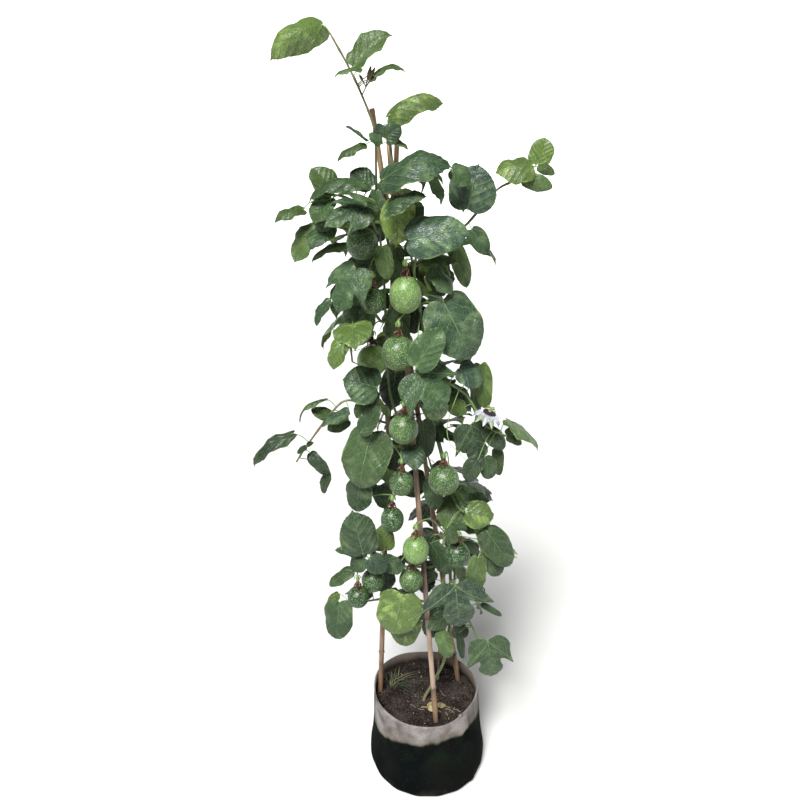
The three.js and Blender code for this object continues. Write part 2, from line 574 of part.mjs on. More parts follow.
// ---- Shoots ----
// Each leafy shoot starts on a climbing stem at a height. Its own stem is a run of x, z and y.
// A leaf is its kind, base x and z, tip x and z, depth y, width, how far its tip lies behind its
// base, its roll about its midrib, its arch as a share of its length, and its fold in degrees.
// More leaves are set by rule on each shoot.
const SHOOTS = {
  top: {
    ruled: 0,
    from: ["green", 1322],
    stem: [
      [-100, 1345, -30], [-101, 1400, -34], [-103, 1455, -36],
      [-124, 1510, -38], [-145, 1552, -38], [-172, 1598, -40],
    ],
    leaves: [
      ["oval", -184, 1610, -273, 1560, -44, 60, -20, -6, 0.26, -24],
      ["oval", -135, 1550, -73, 1600, -44, 58, 10, -12, 0.05, 26],
      ["small", -122, 1547, -168, 1537, -62, 26, -5, 35, 0.1, -10],
      ["small", -102, 1538, -50, 1544, -50, 28, 5, -30, 0.22, -10],
      ["small", -115, 1437, -150, 1462, -60, 24, -5, 50, 0, 15],
      ["small", -118, 1432, -168, 1406, -60, 27, -10, 25, 0.12, -12],
      ["small", -113, 1530, -107, 1552, -48, 7, 0, 0, 0, 10],
      ["small", -110, 1528, -100, 1541, -52, 7, 0, 0, 0, 10],
    ],
  },
  crown: {
    ruled: 1,
    from: ["brown", 1318],
    stem: [[-62, 1350, -72], [-72, 1400, -66], [-78, 1440, -60], [-80, 1470, -56]],
    leaves: [
      ["oval", -78, 1477, 15, 1498, -60, 60, 20, -12, 0.26, -22],
      ["oval", -90, 1375, 32, 1398, -118, 66, -10, -8, 0.2, -14],
      ["oval", -85, 1324, -12, 1350, -128, 42, -5, -20, 0.16, -12],
      ["small", -94, 1356, -60, 1388, -124, 28, 5, 15, 0.05, 15],
      ["oval", -84, 1440, -58, 1462, -84, 32, 0, 20, 0.08, 0],
      ["small", -92, 1432, -112, 1450, -90, 26, 0, 20, 0.05, 0],
      ["small", -70, 1436, -46, 1424, -76, 22, 0, -30, 0.12, 0],
      ["small", -88, 1462, -100, 1438, -76, 26, 0, 10, 0.1, 0],
      ["oval", 28, 1392, 62, 1368, -112, 36, 10, 10, 0.1, 0],
      ["oval", -60, 1342, -68, 1262, -94, 60, 0, 0, 0.06, -8],
    ],
  },
  right_up: {
    ruled: 2,
    from: ["brown", 1225],
    stem: [
      [6, 1266, -40], [52, 1296, -58], [90, 1340, -66],
      [112, 1362, -66], [142, 1376, -68], [168, 1394, -70],
    ],
    leaves: [
      ["oval", 58, 1326, 74, 1402, -112, 82, 8, 0, 0.05, -8],
      ["oval", 166, 1398, 102, 1388, -84, 64, 0, 12, 0.14, -20],
      ["oval", 176, 1401, 185, 1444, -72, 42, 5, 0, 0.04, 8],
      ["small", 175, 1397, 206, 1384, -72, 18, 0, 30, 0.14, 0],
      ["small", 150, 1378, 204, 1362, -80, 30, -5, 30, 0.12, -10],
      ["oval", 66, 1292, 98, 1248, -78, 34, 0, 25, 0.06, 15],
    ],
  },
  left_up: {
    ruled: 1,
    from: ["fork", 1284],
    stem: [[-116, 1318, -64], [-140, 1340, -72], [-178, 1350, -80], [-214, 1338, -80]],
    leaves: [
      ["oval", -176, 1352, -212, 1396, -66, 52, 10, 10, 0.06, 10],
      ["oval", -122, 1370, -222, 1340, -96, 50, -10, 30, 0.2, -20],
      ["oval", -228, 1326, -282, 1303, -72, 32, -10, 20, 0.18, -10],
      ["oval", -180, 1346, -214, 1302, -104, 46, -5, 10, 0.06, 10],
      ["small", -98, 1334, -178, 1350, -118, 26, 0, 52, 0.12, -10],
      ["oval", -108, 1364, -146, 1390, -74, 44, 10, 0, 0.04, 8],
      ["oval", -94, 1326, -108, 1361, -138, 34, 0, 15, 0.1, -15],
    ],
  },
  left_high: {
    ruled: 3,
    from: ["fork", 1226],
    stem: [[-116, 1262, -30], [-140, 1286, -36], [-172, 1296, -52], [-200, 1296, -58]],
    leaves: [
      ["oval", -205, 1296, -252, 1234, -62, 52, -5, 15, 0.08, 5],
      ["lobed", -118, 1332, -196, 1298, -112, 78, -15, 10, 0.08, -10],
      ["oval", -118, 1322, -142, 1294, -134, 32, -5, 0, 0.08, -10],
      ["small", -150, 1268, -220, 1238, -48, 30, 0, 30, 0.12, -10],
      ["oval", -100, 1242, -150, 1222, -44, 40, 10, -20, 0.05, 0],
      ["oval", -182, 1322, -206, 1288, -88, 40, 0, 5, 0.08, 0],
    ],
  },
  centre: {
    ruled: 3,
    from: ["brown", 1140],
    stem: [[-28, 1180, -62], [-34, 1220, -66], [-24, 1260, -62], [10, 1250, -58], [30, 1210, -56]],
    leaves: [
      ["oval", -45, 1274, 64, 1292, -112, 74, 0, 10, 0.06, -8],
      ["oval", 40, 1262, 62, 1186, -74, 32, 5, 15, 0.1, 10],
      ["oval", -4, 1218, 22, 1172, -52, 32, 5, 10, 0.05, 5],
      ["oval", -22, 1238, 46, 1236, -58, 42, 10, -35, 0.08, 0],
      ["oval", -30, 1040, 20, 1118, -72, 56, 10, 10, 0.05, 8],
      ["oval", 18, 1166, 76, 1050, -116, 104, -5, 5, 0.06, -8],
      ["small", -40, 1300, -20, 1330, -84, 26, 0, 10, 0.08, 0],
      ["oval", -67, 1262, -68, 1186, -50, 32, 0, 0, 0.02, 0],
      ["oval", -62, 1152, -66, 1078, -48, 46, 0, 0, 0.02, 0],
    ],
  },
  left_mid: {
    ruled: 3,
    from: ["fork", 1120],
    stem: [
      [-110, 1150, -52], [-126, 1190, -60], [-140, 1150, -64],
      [-152, 1100, -62], [-150, 1050, -60],
    ],
    leaves: [
      ["lobed", -139, 1225, -177, 1140, -120, 86, -5, 10, 0.08, -10],
      ["small", -188, 1168, -216, 1118, -66, 24, -5, 20, 0.1, 10],
      ["oval", -140, 1150, -170, 1082, -92, 38, 0, 10, 0.06, 12],
      ["oval", -124, 1148, -136, 1078, -108, 44, 0, -5, 0.06, 10],
      ["oval", -162, 1092, -188, 1032, -68, 38, -5, 15, 0.18, 0],
      ["oval", -103, 998, -170, 1016, -116, 74, 5, 0, 0.08, -8],
      ["oval", -92, 1262, -82, 1200, -68, 32, 0, 0, 0.06, 0],
    ],
  },
  right_mid: {
    ruled: 3,
    from: ["brown", 1030],
    stem: [
      [-6, 1022, -58], [30, 1008, -58], [66, 984, -62],
      [88, 950, -66], [110, 918, -74], [148, 898, -82],
    ],
    leaves: [
      ["lobed", -31, 1029, 32, 954, -130, 120, -10, 0, 0.08, -8],
      ["oval", 52, 1036, 98, 1004, -74, 50, 0, 0, 0.06, 5],
      ["oval", 92, 1044, 106, 950, -52, 40, 0, 20, 0.05, 10],
      ["small", 76, 1002, 88, 924, -92, 28, 0, -30, 0.1, 20],
      ["lobed", 78, 922, 100, 838, -108, 88, -5, 0, 0.06, -6],
      ["oval", 106, 914, 148, 868, -98, 36, 0, 0, 0.1, 0],
      ["small", 149, 900, 166, 918, -84, 18, 0, 0, 0.06, 0],
      ["small", 149, 897, 181, 880, -84, 19, 0, 0, 0.12, 0],
      ["oval", 96, 850, 70, 800, -72, 36, 0, 0, 0.08, 10],
      ["oval", 108, 852, 122, 802, -80, 36, 0, 0, 0.08, 10],
      ["small", 132, 872, 138, 810, -64, 26, 0, 20, 0.08, 0],
      ["oval", -68, 1030, -78, 952, -66, 56, 0, 0, 0.06, -6],
      ["oval", -40, 1024, -44, 948, -62, 46, 0, 0, 0.02, 0],
    ],
  },
  left_out: {
    ruled: 1,
    from: ["fork", 905],
    stem: [
      [-100, 930, -48], [-132, 962, -58], [-162, 972, -68],
      [-190, 950, -74], [-245, 875, -78], [-266, 842, -78],
    ],
    leaves: [
      ["small", -200, 974, -258, 928, -74, 15, -5, 45, 0.2, -10],
      ["oval", -270, 903, -356, 832, -84, 34, -15, 25, 0.16, -10],
      ["small", -188, 934, -232, 954, -66, 28, 0, 0, 0.06, 5],
      ["oval", -160, 932, -204, 910, -62, 32, 0, 0, 0.06, 5],
      ["small", -158, 950, -214, 918, -92, 28, 0, 25, 0.1, 0],
      ["small", -238, 862, -200, 814, -76, 27, 0, 20, 0.2, 0],
      ["small", -204, 822, -216, 770, -70, 22, 0, 15, 0.08, 0],
      ["small", -244, 876, -264, 860, -92, 12, 0, 0, 0.1, 0],
      ["small", -244, 878, -230, 884, -90, 10, 0, 0, 0.1, 0],
      ["oval", -136, 906, -96, 962, -118, 36, 0, 0, 0.05, 12],
      ["oval", -106, 990, -148, 934, -98, 38, 0, 10, 0.06, 10],
    ],
  },
  mid_low: {
    ruled: 3,
    from: ["fork", 842],
    stem: [[-78, 880, -46], [-104, 892, -64], [-126, 850, -70], [-128, 800, -70], [-120, 760, -66]],
    leaves: [
      ["oval", -116, 906, -143, 777, -142, 96, -10, 5, 0.1, -12],
      ["oval", -140, 798, -150, 726, -106, 56, 0, 10, 0.05, -10],
      ["oval", -72, 890, -40, 850, -60, 40, 5, 0, 0.06, 0],
      ["oval", -100, 790, -88, 735, -56, 40, 5, 0, 0.06, 0],
      ["oval", -16, 930, -8, 846, 8, 46, 0, 0, 0.05, 0],
    ],
  },
  right_low: {
    ruled: 3,
    from: ["green", 752],
    stem: [[58, 742, -50], [76, 724, -60], [97, 683, -68], [110, 640, -74], [122, 622, -78]],
    leaves: [
      ["oval", 72, 730, 12, 728, -58, 84, 10, 0, 0.06, -8],
      ["small", 48, 706, 80, 688, -78, 18, 0, 20, 0.1, 0],
      ["oval", 78, 730, 133, 714, -88, 58, -5, 5, 0.12, -14],
      ["oval", 120, 684, 176, 596, -92, 58, -5, 5, 0.08, -8],
      ["small", 112, 704, 118, 658, -66, 24, 0, 20, 0.06, 0],
      ["oval", 105, 622, 97, 530, -98, 42, 0, 0, 0.06, 10],
      ["oval", 124, 622, 156, 577, -84, 42, 0, 0, 0.08, 0],
      ["small", 76, 662, 102, 628, -54, 24, 0, 0, 0.06, 0],
      ["oval", 4, 656, 48, 577, -76, 40, 0, 10, 0.06, 5],
      ["small", 38, 694, 58, 654, -46, 26, 0, 0, 0.06, 0],
      ["oval", 4, 804, 14, 730, -36, 42, 0, 0, 0.05, 0],
    ],
  },
  left_low: {
    ruled: 2,
    from: ["green", 632],
    stem: [
      [18, 606, -24], [-24, 598, -28], [-72, 602, -46],
      [-112, 612, -62], [-142, 612, -74], [-160, 598, -76],
    ],
    leaves: [
      ["oval", -137, 630, -158, 732, -124, 78, 0, 0, 0.08, -12],
      ["small", -150, 632, -196, 640, -84, 22, 0, 25, 0.08, 0],
      ["oval", -136, 620, -163, 588, -112, 38, 0, 0, 0.08, -10],
      ["oval", -124, 618, -86, 588, -122, 42, 0, 0, 0.08, -10],
      ["oval", -94, 614, -50, 590, -104, 36, 0, 0, 0.08, -10],
      ["oval", -104, 588, -84, 538, -70, 56, 5, 0, 0.06, 0],
      ["small", -158, 590, -213, 550, -74, 30, 0, 15, 0.06, 10],
      ["oval", -92, 640, -98, 700, -70, 48, 5, 0, 0.06, 0],
    ],
  },
  left_bottom: {
    ruled: 2,
    from: ["green", 545],
    stem: [[18, 512, -22], [-38, 520, -34], [-84, 520, -52], [-132, 512, -60], [-172, 512, -66]],
    leaves: [
      ["oval", -190, 508, -200, 405, -82, 62, -5, 5, 0.06, -8],
      ["small", -192, 532, -223, 478, -74, 22, 0, 20, 0.14, 0],
      ["oval", -55, 528, -76, 418, -118, 94, -5, 0, 0.07, -10],
      ["oval", -40, 484, -57, 388, -84, 64, 0, 5, 0.06, 0],
    ],
  },
  right_bottom: {
    ruled: 2,
    from: ["green", 506],
    stem: [[66, 502, -36], [84, 476, -52], [100, 440, -62], [110, 414, -70]],
    leaves: [
      ["deep", 58, 552, 72, 438, -112, 150, -5, 0, 0.06, -10],
      ["oval", 26, 502, 0, 412, -46, 50, 5, 10, 0.06, 5],
      ["oval", 28, 432, 52, 357, -72, 36, 0, 0, 0.06, 12],
      ["small", 70, 430, 80, 355, -64, 18, 0, 0, 0.08, 0],
      ["lobed", 134, 407, 149, 303, -92, 104, -5, 0, 0.08, -8],
      ["small", 115, 504, 163, 473, -96, 14, 0, 0, 0.12, 0],
    ],
  },
  back_low: {
    ruled: 12,
    from: ["brown", 520],
    climb: [[70, 66, 560], [46, 84, 640], [20, 88, 720], [0, 86, 790]],
  },
  back_mid: {
    ruled: 13,
    from: ["green", 850],
    climb: [[2, 66, 870], [-30, 84, 940], [-52, 84, 1020], [-58, 80, 1090]],
  },
  back_high: {
    ruled: 13,
    from: ["green", 1130],
    climb: [[-44, 56, 1160], [-64, 74, 1230], [-78, 74, 1300], [-86, 66, 1360]],
  },
};

// The shoot's stem leaves the climbing stem square to it, a hair clear of its bark.
function shootStem({ from: [name, height], stem, climb }) {
  const parent = STEMS[name];
  const start = onStem(parent, height);
  const run = stem ? stem.map(([x, z, y]) => sight(x, z, y)) : climb.map((row) => point(...row));
  const along = onStem(parent, height + 5).sub(start).normalize();
  const out = run[0].clone().sub(start);
  out.addScaledVector(along, -out.dot(along)).normalize();
  const socket = STEM_RADII[name] + 1;
  const feet = [socket, socket + 7].map((reach) => start.clone().addScaledVector(out, reach));
  return [...feet, ...run];
}

function partWay(path, share) {
  const reach = share * (path.length - 1);
  const i = Math.min(Math.floor(reach), path.length - 2);
  return path[i].clone().lerp(path[i + 1], reach - i);
}

// Whatever a shoot bears springs from its stem at the nearest spot past its foot.
function nearest(path, target) {
  let best = path[1];
  for (let i = 1; i + 1 < path.length; i += 1) {
    const line = new THREE.Line3(path[i], path[i + 1]);
    const spot = line.closestPointToPoint(target, true, new THREE.Vector3());
    if (spot.distanceTo(target) < best.distanceTo(target)) {
      best = spot;
    }
  }
  return best.clone();
}

// Where a leaf may stand: in its own place, or nearer and further along the line of sight.
const DEPTHS = [0, 14, -14, 28, -28, 42, -42, 56, -56, -70, 70, -84];

function frontPlaces([kind, bx, bz, tx, tz, y, wide, back, roll, arch, fold]) {
  return DEPTHS.map((shift) => ({
    kind,
    base: sight(bx, bz, y + shift),
    tip: sight(tx, tz, y + back + shift),
    light: TOWARDS_LIGHT,
    wide,
    roll,
    arch,
    fold,
  }));
}

// Leaves set by rule take turns along their shoot. Behind, they spread left and right of straight
// back; on a front shoot they fill in all round it. One that isn't clear slips outwards, up or down,
// or turns about its shoot.
const SLIPS = [[0, 0], [14, 0], [0, 16], [0, -16], [28, 0], [14, 16], [14, -16], [-12, 0]];
const TURNS = [0, 50, -50, 100, -100, 150];

function ruledPlaces(path, index, count, behind) {
  const at = partWay(path, (index + 0.7) / (count + 0.4));
  const hand = index % 2 === 0 ? -1 : 1;
  const swing = behind ? draw(18, 105) : draw(0, 178);
  const stalk = draw(22, 42);
  const length = behind ? draw(76, 112) : draw(56, 88);
  const drop = THREE.MathUtils.degToRad(draw(12, 68));
  const wide = length * draw(0.66, 0.84);
  const roll = draw(-25, 25);
  const kind = draw(0, 1) < 0.3 ? "lobed" : "oval";
  const arch = draw(0.04, 0.14);
  const fold = draw(-14, 12);
  const breadth = kind === "lobed" ? wide * 1.25 : wide;
  return TURNS.flatMap((more) => {
    const turn = THREE.MathUtils.degToRad(90 + hand * swing + more);
    const out = point(Math.cos(turn), Math.sin(turn), 0);
    const light = point(out.x * 0.75, out.y * 0.75, 0.65);
    const reach = out.clone().multiplyScalar(Math.cos(drop)).setZ(-Math.sin(drop)).multiplyScalar(length);
    return SLIPS.map(([outward, upward]) => {
      const base = at.clone().addScaledVector(out, stalk + outward).addScaledVector(UP, 8 + upward);
      return { kind, base, tip: base.clone().add(reach), light, wide: breadth, roll, arch, fold };
    });
  });
}

// ---- Tendrils ----
// Thin wires that the vine holds on by, as the shoot they belong to and a run of x, z and y.
const TENDRILS = [
  ["right_mid", [[52, 986, -84], [34, 930, -98], [36, 888, -104], [62, 856, -104], [90, 826, -104]]],
  ["left_mid", [[-150, 1092, -66], [-168, 1078, -92], [-150, 1070, -100], [-118, 1080, -98]]],
  ["mid_low", [[-118, 826, -70], [-100, 818, -88], [-82, 826, -96]]],
];
const TENDRIL_RADIUS = 0.8;

// ---- Flower ----
// One open flower: drooping white petals, a purple crown and a green column with its anthers.
const FLOWER_AT = sight(113, 946, -98);
const FLOWER_WAY = point(0.3, -0.1, 0.95).normalize();
const FLOWER_SHOOT = "right_mid";
const PETALS = 9;
const PETAL_LENGTH = 30;
const CROWN_RADIUS = 13;

function aboutFlower(angle, out, lift) {
  const turn = new THREE.Quaternion().setFromUnitVectors(UP, FLOWER_WAY);
  return point(out * Math.cos(angle), out * Math.sin(angle), lift).applyQuaternion(turn).add(FLOWER_AT);
}

function crownRing(lift) {
  return Array.from({ length: 12 }, (_, i) => aboutFlower((Math.PI * i) / 6, CROWN_RADIUS, lift));
}

// The petals are one star: they part from each other a little way out and their ends droop.
function flowerPetals() {
  const star = (tip, notch, tipLift, notchLift) =>
    Array.from({ length: 2 * PETALS }, (_, i) => {
      const angle = (Math.PI * i) / PETALS;
      return i % 2 === 0 ? aboutFlower(angle, tip, tipLift) : aboutFlower(angle, notch, notchLift);
    });
  return skin([
    [aboutFlower(0, 0, -2.6)],
    star(16, 13, -5, -4),
    star(PETAL_LENGTH, 15, -17, -4.6),
    star(16, 13, -3.6, -2.6),
    [aboutFlower(0, 0, -0.2)],
  ]);
}

// The crown is a flat disc, and a column stands on it with five anthers round its top.
function flowerHeart() {
  const crown = skin([crownRing(0.2), crownRing(2.2)]);
  const column = rod([aboutFlower(0, 0, 1), aboutFlower(0, 0, 13)], [3, 2.4], 6);
  const anthers = Array.from({ length: 5 }, (_, i) => {
    const angle = (2 * Math.PI * i) / 5;
    const path = [aboutFlower(angle, 0.5, 9), aboutFlower(angle, 8, 9), aboutFlower(angle, 11, 6.5)];
    return rod(path, [1, 1.6, 1.2], 4);
  });
  return joined([crown, column, ...anthers]);
}

// ---- Weeds and the fallen leaf ----
const TUFT_AT = point(-68, 38, SOIL_TOP);
const TUFT_BLADES = 7;
const DRY_LEAF_AT = point(8, -42, SOIL_TOP + 4.5);

function grassBlade(angle, reach, rise) {
  const way = point(Math.cos(angle), Math.sin(angle), 0);
  const side = point(-Math.sin(angle), Math.cos(angle), 0);
  const rows = [[0, 0, 1.6], [0.5, 0.95, 1.8]];
  const rings = rows.map(([out, up, half]) => {
    const centre = TUFT_AT.clone().addScaledVector(way, reach * out).addScaledVector(UP, 3 + rise * up);
    return [
      centre.clone().addScaledVector(side, -half),
      centre.clone().addScaledVector(UP, -0.8),
      centre.clone().addScaledVector(side, half),
    ];
  });
  rings.push([TUFT_AT.clone().addScaledVector(way, reach).addScaledVector(UP, 3 + rise * 0.85)]);
  return skin(rings);
}

function tuftRoot(radius, depth) {
  const path = [-depth, 5].map((height) => TUFT_AT.clone().addScaledVector(UP, height));
  return rod(path, radius, 6);
}

function weedTuft() {
  const blades = Array.from({ length: TUFT_BLADES }, (_, i) => {
    const angle = (2 * Math.PI * i) / TUFT_BLADES + draw(-0.3, 0.3);
    return grassBlade(angle, draw(20, 34), draw(8, 34));
  });
  return joined([tuftRoot(3.5, 10), ...blades]);
}

function dryLeaf() {
  const leaf = {
    kind: "lobed",
    root: DRY_LEAF_AT.clone().add(point(-18, 2, 0)),
    base: DRY_LEAF_AT.clone(),
    tip: DRY_LEAF_AT.clone().add(point(44, 6, 0)),
    light: UP,
    wide: 40,
    roll: 0,
    arch: 0.08,
    fold: -4,
  };
  return leafSkin(leaf);
}

// ---- Assembly ----
node("grow_bag", growBag(), "#4a4745", 0.95);

const standing = [
  ...Object.values(CANES).map(caneHole),
  stemHole(STEMS.green, STEM_RADIUS),
  stemHole(STEMS.brown, BROWN_RADIUS),
  tuftRoot(4.2, 11),
];
node("soil", soilFill(standing), "#3c322d", 1);

for (const [name, cane] of Object.entries(CANES)) {
  node(name, caneRod(cane), CANE_COLOURS[name], 0.7);
  poles.push({ from: alongCane(cane, CANE_FOOT), to: alongCane(cane, cane.tip[2]), radius: CANE_RADIUS });
}
node("cane_tie", tie(), "#8c7650", 0.95);

const forked = [rod(STEMS.green, STEM_RADIUS, 5), rod(STEMS.fork, FORK_RADIUS, 5)];
node("stem_green", joined(forked), "#66704c", 0.8);
node("stem_brown", rod(STEMS.brown, BROWN_RADIUS, 5), "#6d5545", 0.85);
for (const [name, path] of Object.entries(STEMS)) {
  for (let i = 0; i + 1 < path.length; i += 1) {
    poles.push({ from: path[i], to: path[i + 1], radius: STEM_RADII[name] });
  }
}

fruits.forEach((fruit, i) => {
  const label = String(i + 1).padStart(2, "0");
  node(`fruit_${label}`, fruitBody(fruit), FRUIT_COLOURS[i % FRUIT_COLOURS.length], 0.4);
  node(`withered_${label}`, witheredFlower(fruit), "#8c4b2d", 0.9);
  balls.push({ centre: fruit.centre, radius: Math.max(fruit.a, fruit.b) });
  balls.push({ centre: fruit.centre.clone().addScaledVector(UP, fruit.b + 6), radius: 12 });
});

node("flower_petals", flowerPetals(), "#e6e8e4", 0.6);
node("flower_heart", flowerHeart(), "#33203c", 0.6);
balls.push({ centre: FLOWER_AT.clone().addScaledVector(FLOWER_WAY, -6), radius: 28 });

// Stems, fruit stalks and tendrils take their places first, and the leaves fit in among them.
const built = {};
for (const [name, shoot] of Object.entries(SHOOTS)) {
  const path = shootStem(shoot);
  const radii = path.map((_, i) => SHOOT_RADIUS * (1 - (0.45 * i) / path.length));
  built[name] = { path, parts: [rod(path, radii, 4)] };
  groups.push(groupOf(name, "stem", pathSpots(path, 0)));
}
for (const fruit of fruits) {
  const home = built[fruit.shoot];
  const stalk = fruitStalk(fruit, home.path);
  home.parts.push(rod(stalk.path, stalk.radii, 4));
  groups.push(groupOf(fruit.shoot, "stalk", pathSpots(stalk.path, ROOT_SKIP)));
}
const flowerNeck = aboutFlower(0, 0, -4.4);
const flowerRoot = nearest(built[FLOWER_SHOOT].path, flowerNeck);
const flowerBend = flowerNeck.clone().addScaledVector(FLOWER_WAY, -9);
built[FLOWER_SHOOT].parts.push(rod([flowerRoot, flowerBend, flowerNeck], [1.5, 2.2, 4.5], 5));
for (const [name, rows] of TENDRILS) {
  const path = rows.map(([x, z, y]) => sight(x, z, y));
  path[0] = nearest(built[name].path, path[0]);
  built[name].parts.push(rod(path, TENDRIL_RADIUS, 3));
  groups.push(groupOf(name, "stalk", pathSpots(path, ROOT_SKIP)));
}

function addLeaf(name, places, byRule) {
  const home = built[name];
  for (const leaf of places) {
    leaf.root = nearest(home.path, leaf.base);
    const spots = bladeSpots(leaf).filter((spot) => spot.distanceTo(leaf.base) > BASE_SKIP);
    const blade = groupOf(name, "blade", spots);
    const stalk = groupOf(name, "stalk", [leaf.base, ...pathSpots(petiolePath(leaf), ROOT_SKIP)]);
    if (isClear(blade) && isClear(stalk) && !(byRule && hides(spots))) {
      home.parts.push(leafSkin(leaf));
      groups.push(blade, stalk);
      return;
    }
  }
}

for (const [name, shoot] of Object.entries(SHOOTS)) {
  (shoot.leaves ?? []).forEach((row) => addLeaf(name, frontPlaces(row), false));
}
state = SEED;
for (const [name, shoot] of Object.entries(SHOOTS)) {
  for (let i = 0; i < shoot.ruled; i += 1) {
    addLeaf(name, ruledPlaces(built[name].path, i, shoot.ruled, Boolean(shoot.climb)), true);
  }
}
for (const [name, { parts }] of Object.entries(built)) {
  node(`shoot_${name}`, joined(parts), "#4b7350", 0.6);
}

node("weed_tuft", weedTuft(), "#4a6a3c", 0.8);
node("dry_leaf", dryLeaf(), "#b8a468", 0.9);

export default vine;
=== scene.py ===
import math

import bpy
import numpy as np
from mathutils.kdtree import KDTree
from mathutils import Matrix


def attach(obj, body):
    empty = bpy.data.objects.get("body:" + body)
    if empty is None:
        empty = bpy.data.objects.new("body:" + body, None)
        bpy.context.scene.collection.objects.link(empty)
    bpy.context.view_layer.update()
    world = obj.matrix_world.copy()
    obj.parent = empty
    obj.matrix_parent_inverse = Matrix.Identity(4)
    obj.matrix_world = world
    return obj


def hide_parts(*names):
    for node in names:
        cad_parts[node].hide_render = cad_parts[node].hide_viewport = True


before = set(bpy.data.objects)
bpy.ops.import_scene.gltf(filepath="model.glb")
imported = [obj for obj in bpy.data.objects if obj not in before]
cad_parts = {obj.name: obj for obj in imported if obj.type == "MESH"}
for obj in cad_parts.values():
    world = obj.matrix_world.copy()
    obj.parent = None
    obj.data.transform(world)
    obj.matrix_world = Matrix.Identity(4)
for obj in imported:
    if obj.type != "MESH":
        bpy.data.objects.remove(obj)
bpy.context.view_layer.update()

# ---- Camera, floor and light ----
# The plant stands on a pale studio floor and is seen from in front of its top, looking down.
# A large soft light hangs above and in front of it, in a pale room.
MM = 0.001
EYE = np.array((-60.0, -1286.0, 1407.0))
EYE_TILT = 19.8
camera = bpy.data.objects.new("camera", bpy.data.cameras.new("camera"))
camera.location = EYE * MM
camera.rotation_euler = (math.radians(90 - EYE_TILT), 0, 0)
camera.data.lens = 30
camera.data.sensor_width = 36
bpy.context.scene.collection.objects.link(camera)
bpy.context.scene.camera = camera

sun = bpy.data.objects.new("studio_light", bpy.data.lights.new("studio_light", "SUN"))
sun.data.energy = 6.8
sun.data.angle = math.radians(22)
sun.rotation_euler = (math.radians(38), 0, math.radians(-20))
bpy.context.scene.collection.objects.link(sun)
room = bpy.data.worlds.new("studio_room")
room.use_nodes = True
room.node_tree.nodes["Background"].inputs["Color"].default_value = (1, 1, 1, 1)
room.node_tree.nodes["Background"].inputs["Strength"].default_value = 0.08
bpy.context.scene.world = room
bpy.context.scene.view_settings.view_transform = "Standard"


class Tone:
    """One value of a material's nodes. Python arithmetic on it adds Math nodes."""

    def __init__(self, tree, socket=None):
        self.tree = tree
        self.socket = socket

    def node(self, kind, settings, sockets, out=0):
        made = self.tree.nodes.new("ShaderNode" + kind)
        for name, value in settings.items():
            setattr(made, name, value)
        for name, value in sockets.items():
            if isinstance(value, Tone):
                self.tree.links.new(value.socket, made.inputs[name])
            else:
                made.inputs[name].default_value = value
        return Tone(self.tree, made.outputs[out])

    def math(self, operation, *others):
        return self.node("Math", {"operation": operation}, dict(enumerate((self, *others))))

    def __add__(self, other):
        return self.math("ADD", other)

    def __sub__(self, other):
        return self.math("SUBTRACT", other)

    def __rsub__(self, other):
        return self.node("Math", {"operation": "SUBTRACT"}, {0: other, 1: self})

    def __mul__(self, other):
        return self.math("MULTIPLY", other)

    __radd__ = __add__
    __rmul__ = __mul__

    def between(self, low, high):
        """0 at low and 1 at high, with a soft start and end."""
        sockets = {"Value": self, "From Min": low, "From Max": high}
        return self.node("MapRange", {"interpolation_type": "SMOOTHSTEP"}, sockets)

    def blend(self, from_colour, to_colour):
        """The first colour where this is 0, and the second where it is 1."""
        sockets = {0: self, 6: from_colour, 7: to_colour}
        return self.node("Mix", {"data_type": "RGBA"}, sockets, 2)

    def kept(self, name):
        """What solid() keeps of that name at each point of a piece."""
        return self.node("Attribute", {"attribute_name": name}, {}, "Vector")

    def part(self, name, axis):
        return self.node("SeparateXYZ", {}, {"Vector": self.kept(name)}, axis)

    def place(self, stretch=(1, 1, 1), name=None):
        """The place on the plant in metres, or the kept one of that name, stretched."""
        spot = self.kept(name) if name else self.node("TexCoord", {}, {}, "Object")
        return self.node("Mapping", {}, {"Vector": spot, "Scale": stretch})

    def along(self, axis):
        """How far the place is along one axis, in metres."""
        return self.node("SeparateXYZ", {}, {"Vector": self.place()}, axis)

    def noise(self, scale, detail=3, at=None):
        sockets = {"Vector": at or self.place(), "Scale": scale, "Detail": detail}
        return self.node("TexNoise", {}, sockets)

    def grain(self, across, along, detail=3):
        """Noise drawn out along a piece, so fine across it and along it."""
        return self.noise(1, detail, self.place((across, across, along), "spot"))

    def relief(self, height):
        """A bump from this value, at most that high in metres."""
        return self.node("Bump", {}, {"Height": self, "Distance": height}, "Normal")


def paint(*screen):
    """A screen colour, 0 to 255, as the linear colour that a shader takes."""
    return (*(((c / 255 + 0.055) / 1.055) ** 2.4 if c > 10 else c / 3295 for c in screen), 1)


def finish(name, dress, **fixed):
    """A material. dress gives what varies over the surface; fixed are the other sockets."""
    material = bpy.data.materials.new(name)
    material.use_nodes = True
    shader = material.node_tree.nodes["Principled BSDF"]
    for socket, value in fixed.items():
        shader.inputs[socket.replace("_", " ")].default_value = value
    for socket, tone in dress(Tone(material.node_tree)).items():
        material.node_tree.links.new(tone.socket, shader.inputs[socket])
    return material


